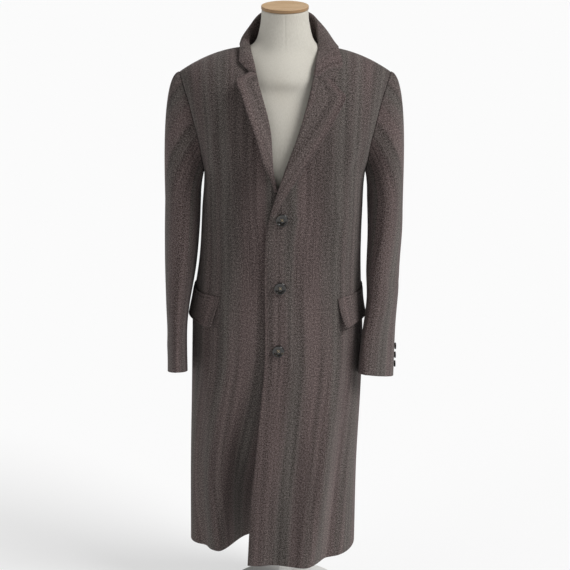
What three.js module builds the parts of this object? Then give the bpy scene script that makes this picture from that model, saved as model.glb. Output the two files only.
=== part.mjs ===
// A single-breasted wool overcoat, worn on a limbless dress form that stands on a round base.
// Millimetres, +Z up. X runs to the wearer's left, and the wearer faces -Y.
// The origin is the centre of the base's underside.

import * as THREE from 'three';

// Driving dimensions
const CLOTH = 3;
const SEAM_GAP = 0.3;
const HEM_Z = 150;
const ARMHOLE_FOOT_Z = 1005;
const ARMHOLE_NOTCH_Z = 1100;
const SHOULDER_TIP_X = 219;
const NECK_POINT_X = 66;
const NECK_POINT_Z = 1268;
const SHOULDER_FALL = 0.0022;
const SHOULDER_ROUNDING = 210;
const SHOULDER_POWER = 2.2;
const SECTION_POWER = 0.85;
const SIDE_SEAM = 104;
const BREAK_Z = 940;
const ROLL_RADIUS = 4.9;
const ROLL_MARGIN = 8.2;
const NECK_MARGIN = 6;
const BACK_NECK_DEPTH = 58;
const BACK_NECK_RISE = 35;
const BACK_NECK_WIDTH = 150;
const BUTTON_DIAMETER = 25.5;
const BUTTON_THICKNESS = 4.6;
const CUFF_BUTTON_DIAMETER = 15;
const CUFF_BUTTON_THICKNESS = 3.4;
const BUTTON_GAP = 0.4;
const BASE_DIAMETER = 280;
const BASE_THICKNESS = 10;
const POLE_DIAMETER = 30;
const TORSO_FOOT_Z = 620;
const NECK_TOP_Z = 1344;
const CAP_DIAMETER = 98;
const CAP_THICKNESS = 7.2;
const CAP_TILT = 7;

const rad = THREE.MathUtils.degToRad;
const vec = (x, y, z) => new THREE.Vector3(x, y, z);
const lerp = THREE.MathUtils.lerp;
const smooth = THREE.MathUtils.smoothstep;

// Smooth reading of one column of a table whose rows climb in z
function read(rows, key, z) {
  const last = rows.length - 1;
  if (z <= rows[0].z) return rows[0][key];
  if (z >= rows[last].z) return rows[last][key];
  let i = 0;
  while (z > rows[i + 1].z) i += 1;
  const slope = (a, b) => (rows[b][key] - rows[a][key]) / (rows[b].z - rows[a].z);
  const span = rows[i + 1].z - rows[i].z;
  const t = (z - rows[i].z) / span;
  const m0 = slope(Math.max(i - 1, 0), i + 1) * span;
  const m1 = slope(i, Math.min(i + 2, last)) * span;
  const t2 = t * t;
  const t3 = t2 * t;
  return (2 * t3 - 3 * t2 + 1) * rows[i][key] + (t3 - 2 * t2 + t) * m0
    + (3 * t2 - 2 * t3) * rows[i + 1][key] + (t3 - t2) * m1;
}

// Sections of the coat's body: its two sides, and how deep it is at the front and back
const body = [
  { z: 150, left: -217, right: 159, over: 150, under: 86, back: 128 },
  { z: 348, left: -213, right: 161, over: 149, under: 110, back: 124 },
  { z: 522, left: -207, right: 168, over: 148, under: 131, back: 120 },
  { z: 652, left: -203, right: 170, over: 147, under: 139.5, back: 118 },
  { z: 718, left: -200, right: 167, over: 146, under: 140, back: 117 },
  { z: 827, left: -183, right: 163, over: 146, under: 139, back: 114 },
  { z: 934, left: -174, right: 165, over: 146, under: 138.5, back: 118 },
  { z: 1005, left: -170, right: 169, over: 145, under: 137, back: 124 },
  { z: 1040, left: -180, right: 180, over: 144, under: 138, back: 126 },
  { z: 1100, left: -196, right: 197, over: 142, under: 140, back: 126 },
  { z: 1163, left: -212, right: 212, over: 142, under: 142, back: 124 },
  { z: 1230, left: -225, right: 225, over: 142, under: 142, back: 120 },
];

// The line of the armhole where it is cut into the front and the back, above the notches
const armhole = [
  { z: 1100, x: 183 },
  { z: 1163, x: 200 },
  { z: 1216.5, x: SHOULDER_TIP_X },
];

// Front edges below the break, roll lines above it
const overEdge = [
  { z: 150, x: -82 },
  { z: 286, x: -74 },
  { z: 413, x: -61.5 },
  { z: 539, x: -49.5 },
  { z: 603, x: -43 },
  { z: 680, x: -41 },
  { z: 879, x: -40 },
  { z: 940, x: -30.5 },
  { z: 990, x: -15.5 },
  { z: 1040, x: 1 },
  { z: 1113, x: 28 },
  { z: 1195, x: 51.6 },
  { z: 1239, x: 60.7 },
  { z: 1268, x: NECK_POINT_X },
];
const underEdge = [
  { z: 150, x: -55 },
  { z: 300, x: -38 },
  { z: 450, x: -8 },
  { z: 600, x: 18 },
  { z: 700, x: 22 },
  { z: 930, x: 20 },
  { z: 999, x: -15.3 },
  { z: 1047, x: -24.5 },
  { z: 1109, x: -29 },
  { z: 1146, x: -36 },
  { z: 1215, x: -55 },
  { z: 1268, x: -NECK_POINT_X },
];

// Long soft folds that hang from the chest and the back, a row each: where the ridge lies
// at its top, halfway and at its foot, how wide it is, and how far it rises there
const folds = {
  over: [
    { topZ: 1150, footZ: 150, topX: 125, midX: 108, footX: 42, width: 26, topRise: 3, footRise: 17 },
    { topZ: 900, footZ: 150, topX: 135, midX: 130, footX: 98, width: 20, topRise: 0, footRise: -11 },
    { topZ: 640, footZ: 150, topX: 10, midX: -10, footX: -26, width: 24, topRise: 0, footRise: -8 },
  ],
  under: [
    { topZ: 1110, footZ: 930, topX: -140, midX: -153, footX: -168, width: 13, topRise: 5, footRise: 3 },
    { topZ: 980, footZ: 150, topX: -120, midX: -128, footX: -146, width: 24, topRise: 2, footRise: 9 },
    { topZ: 700, footZ: 150, topX: -166, midX: -178, footX: -184, width: 16, topRise: 0, footRise: -8 },
  ],
  back: [
    { topZ: 1080, footZ: 150, topX: -95, midX: -105, footX: -126, width: 30, topRise: 2, footRise: 15 },
    { topZ: 900, footZ: 150, topX: -50, midX: -58, footX: -76, width: 24, topRise: 0, footRise: -10 },
    { topZ: 1060, footZ: 150, topX: 92, midX: 88, footX: 66, width: 30, topRise: 2, footRise: 16 },
    { topZ: 880, footZ: 150, topX: 48, midX: 34, footX: 8, width: 24, topRise: 0, footRise: -9 },
  ],
};

function foldRise(list, x, z) {
  let rise = 0;
  for (const fold of list) {
    if (z > fold.topZ + 60) continue;
    const t = THREE.MathUtils.clamp((fold.topZ - z) / (fold.topZ - fold.footZ), 0, 1);
    const bend = 2 * (fold.topX + fold.footX - 2 * fold.midX);
    const ridge = fold.topX + (fold.footX - fold.topX - bend) * t + bend * t * t;
    const fade = 1 - smooth(z, fold.topZ, fold.topZ + 60);
    rise += fade * lerp(fold.topRise, fold.footRise, t ** 1.5) * Math.exp(-(((x - ridge) / fold.width) ** 2));
  }
  return rise;
}

function shoulderRidge(x) {
  return NECK_POINT_Z - SHOULDER_FALL * Math.max(0, Math.abs(x) - NECK_POINT_X) ** 2;
}

function roundOver(drop) {
  const t = THREE.MathUtils.clamp(drop / SHOULDER_ROUNDING, 0, 1);
  return (1 - (1 - t) ** SHOULDER_POWER) ** (1 / SHOULDER_POWER);
}

// Below this height the under front swings back into the coat
const SWING_Z = 640;

// The coat's outer surface: angle 0 is the middle of the front, 90 the wearer's left side
// and 180 the middle of the back; part is over, under or back
function bodyPoint(part, angle, z) {
  const left = read(body, 'left', z);
  const right = read(body, 'right', z);
  const middle = (left + right) / 2;
  const reach = (right - left) / 2;
  const x = middle + reach * Math.sin(rad(angle));
  const facing = Math.cos(rad(angle));
  const depth = read(body, facing < 0 ? 'back' : part, z);
  const across = 2 * x / BACK_NECK_WIDTH;
  const rise = part === 'back' ? BACK_NECK_RISE * Math.max(0, 1 - across * across) : 0;
  const ridge = shoulderRidge(x) + rise;
  let y = -Math.sign(facing) * depth * Math.abs(facing) ** SECTION_POWER * roundOver(ridge - z);
  if (part === 'under') {
    const below = Math.max(0, (SWING_Z - z) / (SWING_Z - HEM_Z));
    const swing = smooth(below, 0, 1) * lerp(0.35, 1, below);
    y += swing * (88 * smooth(x, -150, -80) + 25 * smooth(x, -90, -50));
  }
  const out = vec((x - middle) / reach ** 2, y / depth ** 2, 0).normalize();
  const seam = Math.cos(rad(SIDE_SEAM));
  const fade = part === 'back' ? smooth(-facing, -seam, 0.5) : smooth(facing, seam, 0.1);
  return vec(x, y, z).addScaledVector(out, fade * foldRise(folds[part], x, z));
}

function angleAt(x, z) {
  const left = read(body, 'left', z);
  const right = read(body, 'right', z);
  const sine = (x - (left + right) / 2) / ((right - left) / 2);
  return THREE.MathUtils.radToDeg(Math.asin(THREE.MathUtils.clamp(sine, -1, 1)));
}

// Lower half of the armhole: a U between the notches, lowest at the side
const NOTCH_ANGLE = { 1: angleAt(183, ARMHOLE_NOTCH_Z), '-1': -angleAt(-183, ARMHOLE_NOTCH_Z) };

function armholeFoot(side, angle) {
  const away = Math.min(1, Math.abs(Math.abs(angle) - 90) / (90 - NOTCH_ANGLE[side]));
  return ARMHOLE_FOOT_Z + (ARMHOLE_NOTCH_Z - ARMHOLE_FOOT_Z) * (1 - Math.sqrt(1 - away * away));
}

// A closed wall from a grid of outer points; cells can be left out, and the wall's
// edges are closed wherever a kept cell has no kept neighbour
function wall(points, normals, keep = () => true, thickness = CLOTH) {
  const rows = points.length;
  const columns = points[0].length;
  const index = new Map();
  const vertices = [];
  const triangles = [];
  const id = (i, j) => {
    const key = i * columns + j;
    if (!index.has(key)) {
      index.set(key, vertices.length / 6);
      const outer = points[i][j];
      const inner = outer.clone().addScaledVector(normals[i][j], -thickness);
      vertices.push(...outer.toArray(), ...inner.toArray());
    }
    return index.get(key) * 2;
  };
  const has = (i, j) => i >= 0 && j >= 0 && i < rows - 1 && j < columns - 1 && keep(i, j);
  const quad = (a, b, c, d) => triangles.push(a, b, c, a, c, d);
  for (let i = 0; i < rows - 1; i += 1) {
    for (let j = 0; j < columns - 1; j += 1) {
      if (!has(i, j)) continue;
      const [a, b, c, d] = [id(i, j), id(i, j + 1), id(i + 1, j + 1), id(i + 1, j)];
      quad(a, b, c, d);
      quad(a + 1, d + 1, c + 1, b + 1);
      if (!has(i - 1, j)) quad(b, a, a + 1, b + 1);
      if (!has(i + 1, j)) quad(d, c, c + 1, d + 1);
      if (!has(i, j - 1)) quad(a, d, d + 1, a + 1);
      if (!has(i, j + 1)) quad(c, b, b + 1, c + 1);
    }
  }
  const geometry = new THREE.BufferGeometry();
  geometry.setAttribute('position', new THREE.Float32BufferAttribute(vertices, 3));
  geometry.setIndex(triangles);
  return geometry;
}

// Grid and normals of a surface given as a function of a row and a column number
function sample(surface, rowValues, columnValues, flip = 1) {
  const step = 1e-3;
  const inside = (values, value, offset) => THREE.MathUtils.clamp(
    value + offset, values[0], values[values.length - 1]);
  const points = rowValues.map((v) => columnValues.map((u) => surface(u, v)));
  const normals = rowValues.map((v) => columnValues.map((u) => {
    const du = surface(inside(columnValues, u, step), v).sub(surface(inside(columnValues, u, -step), v));
    const dv = surface(u, inside(rowValues, v, step)).sub(surface(u, inside(rowValues, v, -step)));
    return du.cross(dv).multiplyScalar(flip).normalize();
  }));
  return { points, normals };
}

const range = (count, from = 0, to = 1) => Array.from(
  { length: count + 1 }, (_, i) => lerp(from, to, i / count));

// Fronts and backs. A column number below 1 runs from the front edge, or the middle of the
// back, to the armhole's notch; above 1 it runs on under the arm to the side seam. A row
// number below 1 climbs from the hem to the notch, and above 1 to the shoulder seam.
const PANEL_ROWS = [...range(14), ...range(8, 1, 2).slice(1)];

const NECKLINE_REACH = 72;

function panelSurface(part, side) {
  const back = part === 'back';
  const edge = part === 'over' ? overEdge : underEdge;
  const notch = NOTCH_ANGLE[side];
  const turn = (angle) => (back ? 180 - angle : angle);
  const armholeX = (z) => read(armhole, 'x', z);
  const innerX = (z) => {
    const roll = ROLL_MARGIN * smooth(z, BREAK_Z, BREAK_Z + 35);
    const collarSeat = NECK_MARGIN * smooth(z, NECK_POINT_Z - 63, NECK_POINT_Z - 33);
    return read(edge, 'x', z) + side * (roll + collarSeat);
  };
  const seamShift = vec(back ? side * SEAM_GAP / 2 : 0, (back ? 1 : -1) * SEAM_GAP / 2, 0);
  const neckZ = (x) => {
    let low = ARMHOLE_NOTCH_Z;
    let high = NECK_POINT_Z + BACK_NECK_RISE;
    const limit = BACK_NECK_DEPTH * Math.sqrt(Math.max(0, 1 - (x / NECKLINE_REACH) ** 2));
    for (let i = 0; i < 40; i += 1) {
      const z = (low + high) / 2;
      const angle = 180 - Math.abs(angleAt(x, z));
      if (bodyPoint('back', side * angle, z).y > limit) low = z;
      else high = z;
    }
    return Math.min(low, shoulderRidge(x) + BACK_NECK_RISE);
  };
  return (column, v) => {
    const u = v > 1 && column < 1.002 ? Math.min(column, 1) : column;
    let angle;
    let z;
    if (u <= 1) {
      const neckX = NECK_POINT_X + ROLL_MARGIN + NECK_MARGIN;
      const tipX = lerp(back ? 0 : neckX, SHOULDER_TIP_X, u);
      const w = Math.max(0, v - 1);
      const climb = 1 - (1 - w) ** SHOULDER_POWER;
      const topZ = back && tipX < NECKLINE_REACH ? neckZ(side * tipX) : shoulderRidge(tipX);
      const up = (top) => (v <= 1 ? lerp(HEM_Z, ARMHOLE_NOTCH_Z, v) : lerp(ARMHOLE_NOTCH_Z, top, climb));
      z = up(topZ);
      const armZ = up(shoulderRidge(SHOULDER_TIP_X));
      const innerZ = back ? z : up(NECK_POINT_Z);
      const outerX = side * armholeX(armZ);
      const outer = v <= 1 ? notch : Math.abs(angleAt(outerX, armZ));
      if (v <= 1) {
        const inner = back ? 0 : side * angleAt(innerX(z), z);
        angle = lerp(inner, outer, u);
      } else {
        const x = lerp(back ? 0 : innerX(innerZ), outerX, u);
        angle = side * angleAt(x, z);
      }
    } else {
      angle = lerp(notch, back ? 180 - SIDE_SEAM : SIDE_SEAM, u - 1);
      z = lerp(HEM_Z, armholeFoot(side, angle), Math.min(v, 1));
    }
    return bodyPoint(part, side * turn(angle), z).add(seamShift);
  };
}

// Under the arm the columns stand closer together near the notch, as the U climbs steeply
function underarmColumns(side, back, count) {
  const notch = NOTCH_ANGLE[side];
  const end = Math.acos((back ? SIDE_SEAM - 90 : 90 - SIDE_SEAM) / (90 - notch));
  const span = (back ? 180 - SIDE_SEAM : SIDE_SEAM) - notch;
  return range(count, 0, end).slice(1).map((turn) => 1 + (90 - notch) * (1 - Math.cos(turn)) / span);
}

function panel(part, side, innerColumns, outerColumns) {
  const back = part === 'back';
  const columns = [...range(innerColumns), ...underarmColumns(side, back, outerColumns)];
  columns[columns.length - 1] = 2;
  const flip = (back ? -1 : 1) * side;
  const { points, normals } = sample(panelSurface(part, side), PANEL_ROWS, columns, flip);
  const keep = (i, j) => PANEL_ROWS[i] < 1 - 1e-6 || columns[j] < 1 - 1e-6;
  const order = flip > 0 ? (row) => row : (row) => [...row].reverse();
  const count = columns.length - 1;
  const kept = flip > 0 ? keep : (i, j) => keep(i, count - 1 - j);
  return wall(points.map(order), normals.map(order), kept);
}

// Sleeves: level sections of the hanging tube, from the cuff to the biceps. x is measured
// from the middle, long runs fore and aft, short across, and turn swings the front inwards
const CUFF_Z = { 1: 563, '-1': 572 };
const CUFF_SLANT = 20;
const BICEPS_Z = 950;
const NOTCH_TURN = 80;
const FRONT_SLEEVE_SEAM = 238;
const BACK_SLEEVE_SEAM = 92;
const sleeves = {
  1: [
    { z: 548, x: 197.5, y: -45, long: 66, short: 28.5, turn: 32 },
    { z: 655, x: 203, y: -38, long: 68, short: 26.4, turn: 28 },
    { z: 738, x: 211, y: -26, long: 71, short: 30, turn: 19 },
    { z: 800, x: 211, y: -20, long: 74, short: 34, turn: 14 },
    { z: 880, x: 214, y: -12, long: 77, short: 37, turn: 6 },
    { z: 950, x: 213, y: -5, long: 79, short: 38, turn: 0 },
  ],
  '-1': [
    { z: 548, x: 234.5, y: -50, long: 66, short: 22, turn: 4 },
    { z: 663, x: 233.5, y: -42, long: 68, short: 21.5, turn: 4 },
    { z: 718, x: 231.5, y: -34, long: 70, short: 25, turn: 3 },
    { z: 800, x: 224.5, y: -22, long: 74, short: 33, turn: 0 },
    { z: 880, x: 220, y: -12, long: 77, short: 37, turn: 0 },
    { z: 950, x: 217, y: -5, long: 79, short: 38, turn: 0 },
  ],
};

function sleeveRing(side, phi, z) {
  const rows = sleeves[side];
  const turn = rad(read(rows, 'turn', z));
  const across = Math.cos(rad(phi)) * read(rows, 'short', z);
  const along = Math.sin(rad(phi)) * read(rows, 'long', z);
  return vec(
    side * (read(rows, 'x', z) + across * Math.cos(turn) + along * Math.sin(turn)),
    read(rows, 'y', z) - across * Math.sin(turn) + along * Math.cos(turn),
    z,
  );
}

// The cuff's edge: its front lies higher than its back
function cuffHeight(side, phi) {
  return CUFF_Z[side] - CUFF_SLANT * Math.sin(rad(phi));
}

// The armhole seen from the sleeve: 0 is the shoulder tip, 180 the underarm, 280 and 80
// the front and back notches
function armholePoint(side, phi) {
  const front = side > 0 ? 'over' : 'under';
  const turn = ((phi % 360) + 360) % 360;
  let point;
  if (turn >= 360 - NOTCH_TURN) {
    point = panelSurface(front, side)(1, 1 + (turn - 360 + NOTCH_TURN) / NOTCH_TURN);
  } else if (turn <= NOTCH_TURN) {
    point = panelSurface('back', side)(1, 2 - turn / NOTCH_TURN);
  } else {
    const eta = rad(((turn - NOTCH_TURN) / (360 - 2 * NOTCH_TURN)) * 180);
    const angle = 90 + (90 - NOTCH_ANGLE[side]) * Math.cos(eta);
    const z = ARMHOLE_NOTCH_Z - (ARMHOLE_NOTCH_Z - ARMHOLE_FOOT_Z) * Math.sin(eta);
    point = bodyPoint(angle > SIDE_SEAM ? 'back' : front, side * angle, z);
  }
  const clear = lerp(1, 1.2, (1 - Math.cos(rad(phi))) / 2);
  return point.add(vec(side * clear, 0, 0));
}

function sleeveSurface(side) {
  return (phi, s) => {
    if (s <= 1) return sleeveRing(side, phi, lerp(cuffHeight(side, phi), BICEPS_Z, s));
    const h = s - 1;
    const from = sleeveRing(side, phi, BICEPS_Z);
    const to = armholePoint(side, phi);
    const under = (1 - Math.cos(rad(phi))) / 2;
    const length = from.distanceTo(to);
    const start = vec(0, 0, 1).multiplyScalar(length * 0.85);
    const end = vec(-side, 0, 0.2).lerp(vec(-side * 0.3, 0, 1), under).normalize();
    end.multiplyScalar(length * lerp(0.42, 0.8, under));
    const h2 = h * h;
    const h3 = h2 * h;
    return from.multiplyScalar(2 * h3 - 3 * h2 + 1)
      .addScaledVector(start, h3 - 2 * h2 + h)
      .addScaledVector(to, 3 * h2 - 2 * h3)
      .addScaledVector(end, h3 - h2);
  };
}

function sleevePart(side, fromPhi, toPhi, steps) {
  const rows = [...range(8), ...range(7, 1, 2).slice(1)];
  const columns = range(steps, fromPhi, toPhi);
  const { points, normals } = sample(sleeveSurface(side), rows, columns, side);
  for (const row of points) {
    const last = row.length - 1;
    const shift = (from, towards) => towards.clone().sub(from).setLength(SEAM_GAP * 1.1);
    const first = shift(row[0], row[1]);
    row[last].add(shift(row[last], row[last - 1]));
    row[0].add(first);
  }
  const order = side > 0 ? (row) => row : (row) => [...row].reverse();
  return wall(points.map(order), normals.map(order));
}

// Collar and lapels are folded: each section starts inside the neck, goes round the crease
// and comes back over the cloth to its outer edge
const FOLD_STEPS = 4;
const LAID_GAP = 0.6;
const LAPEL_CLEARANCE = CLOTH + 1.2;
const COLLAR_CLEARANCE = CLOTH + 1.4;
const COLLAR_EDGE_HEIGHT = CLOTH + 3.6;
const COLLAR_BULGE = 5;

function foldSection({ crest, edge, normal, stand, lean = 0, cover }) {
  const out = edge.clone().sub(crest).normalize();
  const up = normal.clone().addScaledVector(out, -normal.dot(out)).normalize();
  const centre = crest.clone().addScaledVector(out, ROLL_RADIUS);
  const around = (turn) => centre.clone()
    .addScaledVector(out, ROLL_RADIUS * Math.cos(rad(turn)))
    .addScaledVector(up, ROLL_RADIUS * Math.sin(rad(turn)));
  const points = [-135, -180, -225, -270].map(around);
  if (stand === undefined) {
    points.unshift(around(-90));
  } else {
    const upright = Math.min(1, stand / 10);
    const outwards = vec(out.x, out.y, 0).normalize();
    const inner = around(lerp(-120, -90, upright));
    const foot = around(-90).add(vec(0, 0, -stand)).addScaledVector(outwards, lean);
    points.unshift(foot, around(-105).lerp(foot.clone().lerp(inner, 0.5), upright), inner);
  }
  const start = points[points.length - 1];
  for (let i = 1; i <= FOLD_STEPS; i += 1) points.push(cover(start, edge, up, i / FOLD_STEPS));
  const last = points.length - 1;
  const across = (from, to) => {
    const along = to.clone().sub(from);
    return out.clone().multiplyScalar(-along.dot(up)).addScaledVector(up, along.dot(out)).normalize();
  };
  const bends = last - FOLD_STEPS;
  const normals = points.map((point, i) => (i > bends
    ? across(points[i - 1], points[Math.min(i + 1, last)])
    : point.clone().sub(centre).normalize()));
  if (stand !== undefined) {
    const upright = Math.min(1, stand / 10);
    normals[0] = up.clone().negate().lerp(across(points[0], points[2]), upright).normalize();
    normals[1] = normals[0].clone().add(normals[2]).normalize();
  }
  return { points, normals };
}

// A wall from fold sections, its thickness measured in the plane of each section
function foldedWall(sections, flip = 1) {
  const order = flip > 0 ? (row) => row : (row) => [...row].reverse();
  return wall(sections.map(({ points }) => order(points)), sections.map(({ normals }) => order(normals)));
}

// The coat's surface above a place seen from the front or the back, and its normal there
function surfaceAt(part, x, z) {
  const turn = angleAt(x, z);
  const angle = part === 'back' ? Math.sign(x || 1) * 180 - turn : turn;
  const du = bodyPoint(part, angle + 0.5, z).sub(bodyPoint(part, angle - 0.5, z));
  const dv = bodyPoint(part, angle, z + 0.5).sub(bodyPoint(part, angle, z - 0.5));
  return { point: bodyPoint(part, angle, z), normal: du.cross(dv).normalize() };
}

function above(part, x, z, height) {
  const { point, normal } = surfaceAt(part, x, z);
  return point.addScaledVector(normal, height);
}

// Moves a point of a laid piece out until the piece clears the cloth below it
function clearOf(part, point, height) {
  const { point: foot, normal } = surfaceAt(part, point.x, Math.min(point.z, shoulderRidge(point.x) - 1));
  const short = height - point.clone().sub(foot).dot(normal);
  return short > 0 ? point.addScaledVector(normal, short) : point;
}

// Lapels, a row from the break up to the gorge: the height on the roll line, where the
// outer edge lies as seen from the front, and how far it stands off the chest
const lapels = {
  over: [
    { z: 978, edgeX: -4, edgeZ: 975, lift: 6 },
    { z: 1020, edgeX: 24.5, edgeZ: 1020, lift: 8.5 },
    { z: 1065, edgeX: 53, edgeZ: 1064, lift: 9 },
    { z: 1110, edgeX: 81, edgeZ: 1108, lift: 10 },
    { z: 1150, edgeX: 103, edgeZ: 1146, lift: 11 },
    { z: 1184, edgeX: 117, edgeZ: 1177, lift: 12 },
    { z: 1200, edgeX: 106, edgeZ: 1192, lift: 10 },
    { z: 1218.3, edgeX: 93, edgeZ: 1210, lift: 7 },
  ],
  under: [
    { z: 1030, edgeX: -36.5, edgeZ: 1026, lift: 5.5 },
    { z: 1045, edgeX: -37, edgeZ: 1041, lift: 20 },
    { z: 1085, edgeX: -45.5, edgeZ: 1081, lift: 32 },
    { z: 1121, edgeX: -55, edgeZ: 1117, lift: 38 },
    { z: 1155, edgeX: -68, edgeZ: 1150, lift: 38 },
    { z: 1181, edgeX: -79.5, edgeZ: 1179, lift: 32 },
    { z: 1204, edgeX: -90, edgeZ: 1206, lift: 24 },
    { z: 1221.2, edgeX: -70, edgeZ: 1223.6, lift: 8 },
  ],
};

function lapel(part) {
  const side = part === 'over' ? 1 : -1;
  const edgeRows = part === 'over' ? overEdge : underEdge;
  const sections = lapels[part].map((row) => {
    const { point, normal } = surfaceAt(part, read(edgeRows, 'x', row.z), row.z);
    const crest = point.addScaledVector(normal, ROLL_RADIUS - CLOTH);
    const edge = above(part, row.edgeX, row.edgeZ, row.lift);
    const cover = (start, end, up, t) => clearOf(part, start.clone().lerp(end, t), LAPEL_CLEARANCE);
    return foldSection({ crest, edge, normal, cover });
  });
  return foldedWall(sections, side);
}

// Collar, a row from each leaf round to the back: the crease, the height of the stand
// below it and how far that leans out, and the outer edge; laid rows lie on the fronts
const collarRows = [
  { x: -57, y: -70, z: 1222.5, stand: 0, lean: 0, edgeX: -71, edgeY: -100, edgeZ: 1225, laid: true },
  { x: -61, y: -52, z: 1240, stand: 0, lean: 0, edgeX: -91.5, edgeY: -84, edgeZ: 1242, laid: true },
  { x: -71, y: -26, z: 1268, stand: 0, lean: 0, edgeX: -92, edgeY: -40, edgeZ: 1271 },
  { x: -73, y: 0, z: 1289, stand: 11, lean: 2, edgeX: -94, edgeY: 2, edgeZ: 1273 },
  { x: -64, y: 27, z: 1314, stand: 34, lean: 2, edgeX: -87, edgeY: 40, edgeZ: 1264 },
  { x: -42, y: 50, z: 1335, stand: 48, lean: 2, edgeX: -62, edgeY: 70, edgeZ: 1259 },
  { x: 0, y: 60, z: 1338, stand: 48, lean: 3, edgeX: 0, edgeY: 86, edgeZ: 1264 },
  { x: 41, y: 50, z: 1336, stand: 48, lean: 2, edgeX: 64, edgeY: 70, edgeZ: 1260 },
  { x: 61, y: 29, z: 1321, stand: 38, lean: 5, edgeX: 98, edgeY: 40, edgeZ: 1268 },
  { x: 65, y: 6, z: 1299, stand: 19, lean: 6, edgeX: 109, edgeY: 2, edgeZ: 1270 },
  { x: 67, y: -26, z: 1269, stand: 0, lean: 0, edgeX: 111, edgeY: -40, edgeZ: 1265 },
  { x: 61, y: -56, z: 1240, stand: 0, lean: 0, edgeX: 116, edgeY: -74, edgeZ: 1236, laid: true },
  { x: 57.5, y: -75, z: 1219, stand: 0, lean: 0, edgeX: 94, edgeY: -101, edgeZ: 1211, laid: true },
];

function collar() {
  const frontOf = (x) => (x > 0 ? 'over' : 'under');
  const crests = collarRows.map((row) => (row.laid
    ? above(frontOf(row.x), row.x, row.z, ROLL_RADIUS - CLOTH)
    : vec(row.x, row.y, row.z)));
  const edges = collarRows.map((row) => (row.laid
    ? above(frontOf(row.x), row.edgeX, row.edgeZ, COLLAR_EDGE_HEIGHT)
    : vec(row.edgeX, row.edgeY, row.edgeZ)));
  const crestLine = new THREE.CatmullRomCurve3(crests, false, 'centripetal');
  const edgeLine = new THREE.CatmullRomCurve3(edges, false, 'centripetal');
  const last = collarRows.length - 1;
  const bulging = (bulge) => (start, end, up, t) => {
    const point = start.clone().lerp(end, t).addScaledVector(up, bulge * Math.sin(Math.PI * t));
    return clearOf(point.y > 0 ? 'back' : frontOf(point.x), point, COLLAR_CLEARANCE);
  };
  const sections = range(last * 2).map((t) => {
    const crest = crestLine.getPoint(t);
    const edge = edgeLine.getPoint(t);
    const low = Math.min(Math.floor(t * last), last - 1);
    const mix = (key) => lerp(collarRows[low][key], collarRows[low + 1][key], t * last - low);
    const normal = crestLine.getTangent(t).cross(edge.clone().sub(crest)).normalize();
    const cover = bulging(COLLAR_BULGE * smooth(Math.min(t, 1 - t), 0, 0.2));
    return foldSection({ crest, edge, normal, stand: mix('stand'), lean: mix('lean'), cover });
  });
  return foldedWall(sections, -1);
}

// Pocket flaps and the narrow jets above them, laid round the hips from the front corner
const FLAP_FROM = 43;
const FLAP_TO = 97;
const FLAP_TOP_Z = 750;
const FLAP_DEPTH = 56;
const FLAP_SLANT = 3;
const FLAP_KICK = 5;
const JET_DEPTH = 7;
const JET_CLOTH = 2.2;

function laidPiece(part, side, { topZ, depth, slant, cloth, kick, rows, columns }) {
  const surface = (u, v) => {
    const angle = side * (lerp(FLAP_FROM, FLAP_TO, u) + slant * v * (1 - u));
    const z = topZ - depth * v;
    const point = bodyPoint(part, angle, z);
    const du = bodyPoint(part, angle + 0.5, z).sub(bodyPoint(part, angle - 0.5, z));
    const dv = bodyPoint(part, angle, z + 0.5).sub(bodyPoint(part, angle, z - 0.5));
    const corner = 1 + 0.8 * (1 - u) ** 4;
    return point.addScaledVector(du.cross(dv).normalize(), cloth + LAID_GAP + kick * v * v * corner);
  };
  const flip = -side;
  const { points, normals } = sample(surface, range(rows), range(columns), flip);
  const order = flip > 0 ? (row) => row : (row) => [...row].reverse();
  return wall(points.map(order), normals.map(order), () => true, cloth);
}

const pocketFlap = (part, side) => laidPiece(part, side, {
  topZ: FLAP_TOP_Z,
  depth: FLAP_DEPTH,
  slant: FLAP_SLANT,
  cloth: CLOTH,
  kick: FLAP_KICK,
  rows: 4,
  columns: 10,
});
const pocketJet = (part, side) => laidPiece(part, side, {
  topZ: FLAP_TOP_Z + SEAM_GAP + JET_DEPTH,
  depth: JET_DEPTH,
  slant: 0,
  cloth: JET_CLOTH,
  kick: 0,
  rows: 1,
  columns: 10,
});

// A solid turned about +Z from a profile of radii and heights
function turned(profile, steps) {
  const points = profile.map(([radius, height]) => new THREE.Vector2(radius, height));
  return new THREE.LatheGeometry(points, steps).rotateX(rad(90));
}

// Buttons: a dished disc, its back on z = 0
function buttonShape(diameter, thickness, steps) {
  const r = diameter / 2;
  return turned([
    [0, 0],
    [r * 0.8, 0],
    [r * 0.97, thickness * 0.4],
    [r, thickness * 0.65],
    [r * 0.93, thickness],
    [r * 0.78, thickness * 0.92],
    [r * 0.6, thickness * 0.55],
    [0, thickness * 0.5],
  ], steps);
}

function seat(mesh, point, normal) {
  mesh.quaternion.setFromUnitVectors(vec(0, 0, 1), normal);
  mesh.position.copy(point).addScaledVector(normal, BUTTON_GAP);
}

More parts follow.
